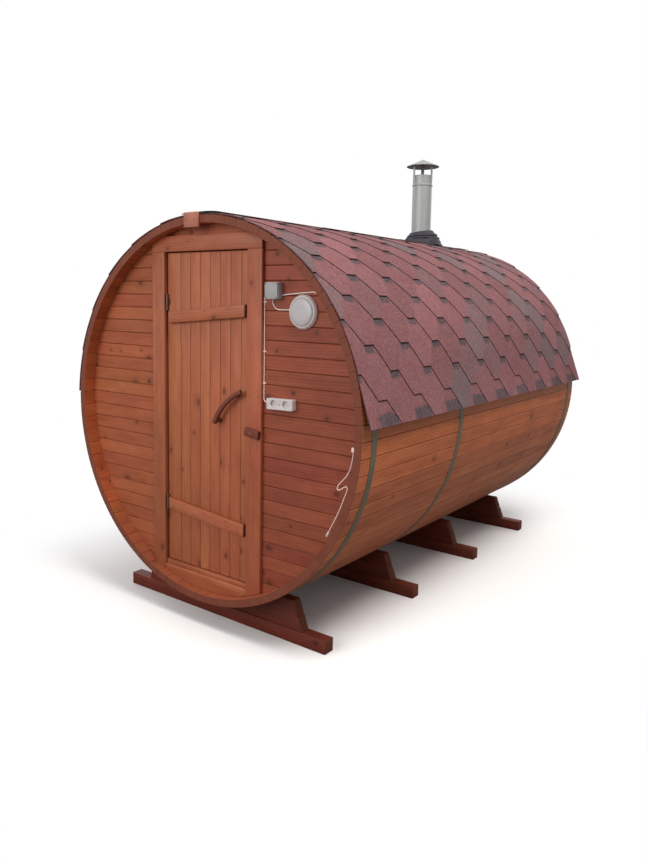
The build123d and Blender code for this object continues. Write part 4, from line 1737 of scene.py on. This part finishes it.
@dataclass
class Fasteners:
    """Screws and cable clips, repeated from one small shape of each."""

    axis: float
    screw_radius: float = 0.0036
    casing_heights: tuple[float, ...] = (-0.72, -0.3, 0.12, 0.54, 0.82)
    pair: Pair = (0.2, 0.8)
    header_shares: tuple[float, ...] = (0.06, 0.35, 0.65, 0.94)
    sill_shares: tuple[float, ...] = (0.1, 0.5, 0.9)
    board_drop: float = 0.03
    box_inset: float = 0.009
    ledger_screws: int = 7
    ledger_inset: float = 0.04
    zigzag: float = 0.018
    clip_heights: tuple[float, ...] = (0.60, 0.352, 0.19)
    cable_radius: float = 0.003
    clip_gap: float = 0.0002

    def screw(self) -> bpy.types.Mesh:
        """Screw head with a recess, its face along Z.

        Returns:
            The head's mesh.
        """
        r = self.screw_radius
        bm = lathe([(0, -0.0006), (r, -0.0006), (r, 0.0004), (r * 0.8, 0.0010), (r * 0.42, 0.0011),
                    (r * 0.3, 0.0003), (0, 0.0003)], Matrix(), 8)
        return mesh_of(bm, "screw_head")

    def clip(self) -> bpy.types.Mesh:
        """Cable clip: a saddle over an upright cable with a nail at its side, its back on Z = 0.

        Returns:
            The clip's mesh.
        """
        bm = bmesh.new()
        section = [(-0.0055, 0.0), (0.0105, 0.0), (0.0105, 0.004), (0.0057, 0.005), (0.0046, 0.0072),
                   (0.0, 0.0084), (-0.0046, 0.0072), (-0.0055, 0.005)]
        prism(bm, [Vector((x, -0.004, z)) for x, z in section], Vector((0, 0.008, 0)))
        head = lathe([(0, 0.0037), (0.0018, 0.0037), (0.0018, 0.0051), (0, 0.0055)],
                     Matrix.Translation((0.0081, 0, 0)), 8)
        absorb(bm, mesh_of(head, "nail"))
        return mesh_of(bm, "cable_clip")

    def recipe(self) -> Recipe:
        """Tree that sets one shape on every point, facing out of the wall.

        Returns:
            The recipe.
        """
        made = Recipe("Fasteners", {"Shape": bpy.types.Object, "Spin": float, "Seed": int,
                                    "Finish": bpy.types.Material})
        graph = made.graph
        shape = graph.node("GeometryNodeObjectInfo", {"Object": made.input("Shape")})
        points = graph.node("GeometryNodeMeshToPoints", {"Mesh": made.input("Geometry")})
        dice = graph.node("FunctionNodeRandomValue", {"Seed": made.input("Seed")}, data_type="FLOAT")
        turn = graph.out(dice, 1) * made.input("Spin")
        spread = graph.node("GeometryNodeInstanceOnPoints", {
            "Points": graph.out(points), "Instance": graph.out(shape, "Geometry"),
            "Rotation": graph.vector(math.pi / 2, turn, 0.0)})
        made.end(graph.out(spread), (made.input("Finish"), None))
        return made

    def spread(self, name: str, shape: bpy.types.Mesh, points: Sequence[Vector], spin: float, body: Body,
               slot: Slot, finish: Finish, recipe: Recipe) -> bpy.types.Object:
        """Sets one shape on points.

        Args:
            name: The piece's name.
            shape: Mesh of the shape, which is removed.
            points: Where it stands.
            spin: How far each one is turned at random, in radians.
            body: The body that carries it.
            slot: Its material slot.
            finish: Its finish.
            recipe: The tree.

        Returns:
            The finished piece.
        """
        source = add_object("source", shape)
        mesh = bpy.data.meshes.new(name)
        mesh.from_pydata([tuple(point) for point in points], [], [])
        made = add_object(name, mesh)
        recipe.run(made, {"Shape": source, "Spin": spin, "Seed": 4, "Finish": finish.material()})
        discard(source)
        shade(made.data, 30.0)
        return settle(made, body, slot, finish)

    def build(self) -> None:
        """Makes all screws and clips."""
        recipe = self.recipe()
        fixed: list[Vector] = []
        for name in ("casing_left", "casing_right"):
            low, high = node_box(name)
            for height in self.casing_heights:
                for share in self.pair:
                    fixed.append(Vector((low.x + share * (high.x - low.x), low.y, self.axis + height)))
        for name, shares in (("door_header", self.header_shares), ("sill_board", self.sill_shares)):
            low, high = node_box(name)
            middle = high.z - self.board_drop
            fixed += [Vector((low.x + share * (high.x - low.x), low.y, middle)) for share in shares]
        low, high = node_box("ridge_plate_front")
        fixed += [Vector((low.x + share * (high.x - low.x), low.y, (low.z + high.z) / 2))
                  for share in self.pair]
        low, high = node_box("junction_box")
        inset = self.box_inset
        fixed += [Vector((x, low.y, z)) for x in (low.x + inset, high.x - inset)
                  for z in (low.z + inset, high.z - inset)]
        low, high = node_box("socket_box")
        fixed.append(Vector(((low.x + high.x) / 2, low.y, (low.z + high.z) / 2)))
        self.spread("wall_screws", self.screw(), fixed, math.pi, Body.SAUNA, Slot.STEEL, Finishes.BRONZE,
                    recipe)
        moving: list[Vector] = []
        for name, rise in (("door_ledger_upper", 1), ("door_ledger_lower", -1)):
            low, high = node_box(name)
            slope = rise * LEDGER_SLOPE
            for place in range(self.ledger_screws):
                span = high.x - low.x - 2 * self.ledger_inset
                x = low.x + self.ledger_inset + place * span / (self.ledger_screws - 1)
                middle = (low.z + high.z) / 2 + slope * (x - (low.x + high.x) / 2)
                moving.append(Vector((x, low.y, middle + (self.zigzag if place % 2 else -self.zigzag))))
        self.spread("door_screws", self.screw(), moving, math.pi, Body.DOOR, Slot.HINGE, Finishes.BRONZE,
                    recipe)
        low, high = node_box("turn_button")
        pivot = next(Vector(joint["pos_m"]) for joint in frame["joints"] if joint["name"] == "button_turn")
        self.spread("button_screw", self.screw(), [Vector((pivot.x, low.y, pivot.z))], math.pi, Body.BUTTON,
                    Slot.STEEL, Finishes.SCREW, recipe)
        low, high = node_box("surface_cables")
        riser = low.x + self.cable_radius
        clips = [Vector((riser, high.y + self.clip_gap, self.axis + height)) for height in self.clip_heights]
        self.spread("cable_clips", self.clip(), clips, 0.0, Body.SAUNA, Slot.WHITE, Finishes.SHEATH, recipe)


@dataclass
class Lead:
    """Loose lead that hangs at the right rim, with its connector."""

    depth: float = -1.481
    axis: float = 1.186
    diameter: float = 0.005
    length: float = 0.525
    route: tuple[Pair, ...] = (
        (0.99723, -0.07538), (0.99566, -0.09933), (0.989, -0.132), (0.980, -0.164), (0.964, -0.193),
        (0.945, -0.213), (0.925, -0.234), (0.910, -0.254), (0.915, -0.268), (0.935, -0.260), (0.952, -0.245),
        (0.965, -0.242), (0.970, -0.255), (0.961, -0.277), (0.949, -0.305), (0.936, -0.341), (0.917, -0.382),
        (0.897, -0.421), (0.880, -0.452), (0.869, -0.474))

    def connector(self) -> bpy.types.Object:
        """Small in-line connector with a ribbed neck.

        Returns:
            The finished piece.
        """
        last = Vector((self.route[-1][0], self.depth, self.axis + self.route[-1][1]))
        before = Vector((self.route[-2][0], self.depth, self.axis + self.route[-2][1]))
        way = (last - before).normalized()
        spot = Matrix.Translation(last) @ way.to_track_quat("Z", "Y").to_matrix().to_4x4()
        profile = [(0, 0.0002), (0.003, 0.0002), (0.0036, 0.001), (0.0036, 0.0025), (0.0031, 0.003),
                   (0.0039, 0.0036), (0.0039, 0.0052), (0.0033, 0.0057), (0.0043, 0.0064), (0.0045, 0.009),
                   (0.0055, 0.011), (0.0055, 0.0285), (0.0049, 0.0312), (0.0036, 0.032), (0.0034, 0.0295),
                   (0, 0.0295)]
        made = add_object("lead_plug", mesh_of(lathe(profile, spot, 28), "lead_plug"))
        shade(made.data, 45.0)
        return settle(made, Body.SAUNA, Slot.WHITE, Finishes.WHITE, "lead_connector")

    def build(self) -> bpy.types.Object:
        """Makes the lead along its route.

        Returns:
            The finished cord.
        """
        curve = bpy.data.curves.new("loose_lead", "CURVE")
        curve.dimensions = "3D"
        spline = curve.splines.new("NURBS")
        spline.points.add(len(self.route) - 1)
        for point, (x, height) in zip(spline.points, self.route):
            point.co = (x, self.depth, self.axis + height, 1.0)
        spline.order_u = 3
        spline.use_endpoint_u = True
        curve.resolution_u = 8
        curve.bevel_depth = self.diameter / 2
        curve.bevel_resolution = 4
        curve.use_fill_caps = True
        made = add_object("loose_lead", curve)
        settle(made, Body.SAUNA, Slot.SHEATH, Finishes.SHEATH, "lead_cord")
        start = (self.route[0][0], self.depth, self.axis + self.route[0][1])
        return (made, self.connector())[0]


@dataclass
class Studio:
    """Floor, light and camera."""

    eye: tuple[float, float, float] = (2.8014, -4.1881, 1.7948)
    yaw: float = 36.880
    pitch: float = -6.033
    roll: float = 0.945
    lens: float = 30.09
    shift: Pair = (0.01057, -0.0631)
    sensor: float = 36.0
    clip_end: float = 200.0
    floor_size: float = 40.0
    footprint: Pair = (0.75, 1.49)
    fade: float = 1.5
    bounce: Colour = (0.25, 0.24, 0.23)
    ambient: float = 0.44

    def camera(self) -> None:
        """Camera at the photograph's view."""
        data = bpy.data.cameras.new("camera")
        data.sensor_width = self.sensor
        data.lens = self.lens
        data.shift_x, data.shift_y = self.shift
        data.clip_end = self.clip_end
        made = add_object("camera", data)
        turn = (Matrix.Rotation(math.radians(self.yaw), 4, "Z")
                @ Matrix.Rotation(math.radians(90 + self.pitch), 4, "X")
                @ Matrix.Rotation(math.radians(self.roll), 4, "Z"))
        made.matrix_world = Matrix.Translation(self.eye) @ turn
        bpy.context.scene.camera = made

    def floor(self) -> None:
        """Pale floor that keeps the shadow and runs into the white of the backdrop."""
        bm = bmesh.new()
        half = self.floor_size / 2
        corners = ((-half, -half), (half, -half), (half, half), (-half, half))
        bm.faces.new([bm.verts.new((x, y, 0)) for x, y in corners])
        made = add_object("floor", mesh_of(bm, "floor"))
        material = bpy.data.materials.new("pale floor")
        graph = fresh_graph(material)
        seen = graph.out(graph.node("ShaderNodeLightPath"), "Is Camera Ray")
        pale = graph.mix(seen, self.bounce, (0.9, 0.9, 0.9))
        matt = graph.node("ShaderNodeBsdfDiffuse", {"Color": pale})
        white = graph.node("ShaderNodeEmission", {"Color": (1.0, 1.0, 1.0), "Strength": 1.0})
        place = graph.place()
        x, y, _ = graph.split(place)
        aside = graph.math("MAXIMUM", x.size() - self.footprint[0], 0.0)
        beyond = graph.math("MAXIMUM", y.size() - self.footprint[1], 0.0)
        far = graph.math("SQRT", aside * aside + beyond * beyond)
        blend = graph.node("ShaderNodeMixShader", {0: graph.remap(far, 0.0, self.fade) * seen})
        graph.link(blend.inputs[1], matt.outputs[0])
        graph.link(blend.inputs[2], white.outputs[0])
        output = graph.node("ShaderNodeOutputMaterial")
        graph.link(output.inputs["Surface"], blend.outputs[0])
        made.data.materials.append(material)

    def lamp(self, name: str, place: Sequence[float], target: Sequence[float], size: float, power: float,
             colour: Colour) -> None:
        """Soft square lamp.

        Args:
            name: The lamp's name.
            place: Where it hangs.
            target: Where it points.
            size: Its side in metres.
            power: Its power in watts.
            colour: Its colour.
        """
        data = bpy.data.lights.new(name, "AREA")
        data.shape = "SQUARE"
        data.size = size
        data.energy = power
        data.color = colour
        made = add_object(name, data)
        way = Vector(target) - Vector(place)
        made.matrix_world = Matrix.Translation(place) @ way.to_track_quat("-Z", "Y").to_matrix().to_4x4()

    def build(self) -> None:
        """Sets the camera, the floor, the lamps and the white surround."""
        scene = bpy.context.scene
        scene.view_settings.view_transform = "Standard"
        self.camera()
        self.floor()
        self.lamp("key", (3.9, -1.8, 8.5), (0.3, -0.3, 1.2), 4.0, 730.0, (1.0, 0.97, 0.93))
        self.lamp("front", (-1.2, -8.0, 3.6), (0, -1.4, 1.2), 5.0, 325.0, (1.0, 0.98, 0.96))
        self.lamp("left", (-7.0, 0.5, 5.0), (0, 0, 1.2), 5.0, 120.0, (0.96, 0.98, 1.0))
        self.lamp("back", (0.5, 8.0, 5.0), (0, 0, 1.2), 5.0, 140.0, (1.0, 1.0, 1.0))
        world = bpy.data.worlds.new("surround")
        graph = fresh_graph(world)
        path = graph.node("ShaderNodeLightPath")
        seen = graph.math("MAXIMUM", graph.out(path, "Is Camera Ray"), graph.out(path, "Is Glossy Ray"))
        seen = graph.math("MAXIMUM", seen, graph.out(path, "Is Transmission Ray"))
        strength = self.ambient + seen * (1 - self.ambient)
        surround = graph.node("ShaderNodeBackground", {"Color": (1.0, 1.0, 1.0), "Strength": strength})
        output = graph.node("ShaderNodeOutputWorld")
        graph.link(output.inputs["Surface"], surround.outputs[0])
        scene.world = world


def dress_nodes() -> None:
    """Gives the CAD nodes that stay in view their finishes."""
    kept = {
        Finishes.HOOP: ("hoops",),
        Finishes.ZINC: ("flue_pipe", "flue_cap"),
        Finishes.SHEATH: ("surface_cables", "lead_clip"),
        Finishes.HINGE: ("hinge_jamb_halves", "hinge_door_halves"),
        Finishes.HANDLE: ("handle_feet",),
        Finishes.BARE: ("floor_bearers",),
    }
    for finish, names in kept.items():
        for name in names:
            slots = frame["nodes"][name].data.materials
            slots.clear()
            slots.append(finish.material())
            LOG.info("%s keeps its shape", name)


def timbers() -> list[Timber]:
    """Every wooden piece that takes its shape from CAD nodes.

    Returns:
        The pieces.
    """
    up, level, back = (0, 0, 1), (1, 0, 0), (0, 1, 0)
    front = (0, -1, 0)
    slope = LEDGER_SLOPE
    trim, door, cradle = Finishes.TRIM, Finishes.DOOR, Finishes.CRADLE
    stained, sauna = Slot.STAINED, Body.SAUNA
    return [
        Timber("casing_board_left", ("casing_left",), sauna, stained, trim, up, front, 0.003, 51),
        Timber("casing_board_right", ("casing_right",), sauna, stained, trim, up, front, 0.003, 52),
        Timber("header_board", ("door_header",), sauna, stained, trim, level, front, 0.003, 53),
        Timber("sill_face_board", ("sill_board",), sauna, stained, trim, level, front, 0.003, 54),
        Timber("threshold_board", ("threshold_strip",), sauna, stained, trim, level, front, 0.003, 55),
        Timber("ridge_plate_boards", ("ridge_plate_front", "ridge_plate_back"), sauna, stained,
               Finishes.PLATE, up, front, 0.002, 56),
        Timber("ledger_upper_board", ("door_ledger_upper",), Body.DOOR, Slot.DOOR, door,
               (1, 0, slope), front, 0.003, 57),
        Timber("ledger_lower_board", ("door_ledger_lower",), Body.DOOR, Slot.DOOR, door,
               (1, 0, -slope), front, 0.003, 58),
        Timber("handle_bow", ("handle_bar",), Body.DOOR, Slot.DOOR, Finishes.HANDLE, (0.68, 0, 0.74), front,
               0.005, 59),
        Timber("turn_button_block", ("turn_button",), Body.BUTTON, Slot.DOOR, Finishes.HANDLE,
               (1, 0, -0.14), front, 0.003, 60),
        Timber("cradle_beam_timbers", ("cradle_beams",), sauna, Slot.CRADLE, cradle, level, front, 0.004, 61),
        Timber("cradle_saddle_timbers", ("cradle_saddles",), sauna, Slot.CRADLE, cradle, level, front,
               0.003, 62),
        Timber("floor_planks", ("floor_boards",), sauna, Slot.BARE, Finishes.BARE, back, up, 0.003, 63),
    ]


def main() -> None:
    """Builds the sauna and the studio."""
    logging.basicConfig(level=logging.INFO, format="%(name)s: %(message)s")
    Studio().build()
    Lead().build()
    ring = StaveRing()
    ring.build()
    BoardWall(ring.axis).build()
    PlankDoor().build()
    for timber in timbers():
        timber.build()
    roof = ShingleRoof(ring.axis, ring.front, ring.back)
    roof.build()
    RidgeCaps(ring.axis, roof.radius, ring.front, ring.back).build(roof)
    flue = Flue(ring.axis, roof.radius + roof.skin)
    flue.flashing()
    flue.seam()
    fittings = Fittings()
    fittings.light()
    fittings.boxes()
    Fasteners(ring.axis).build()
    dress_nodes()


if __name__ == "__main__":
    main()
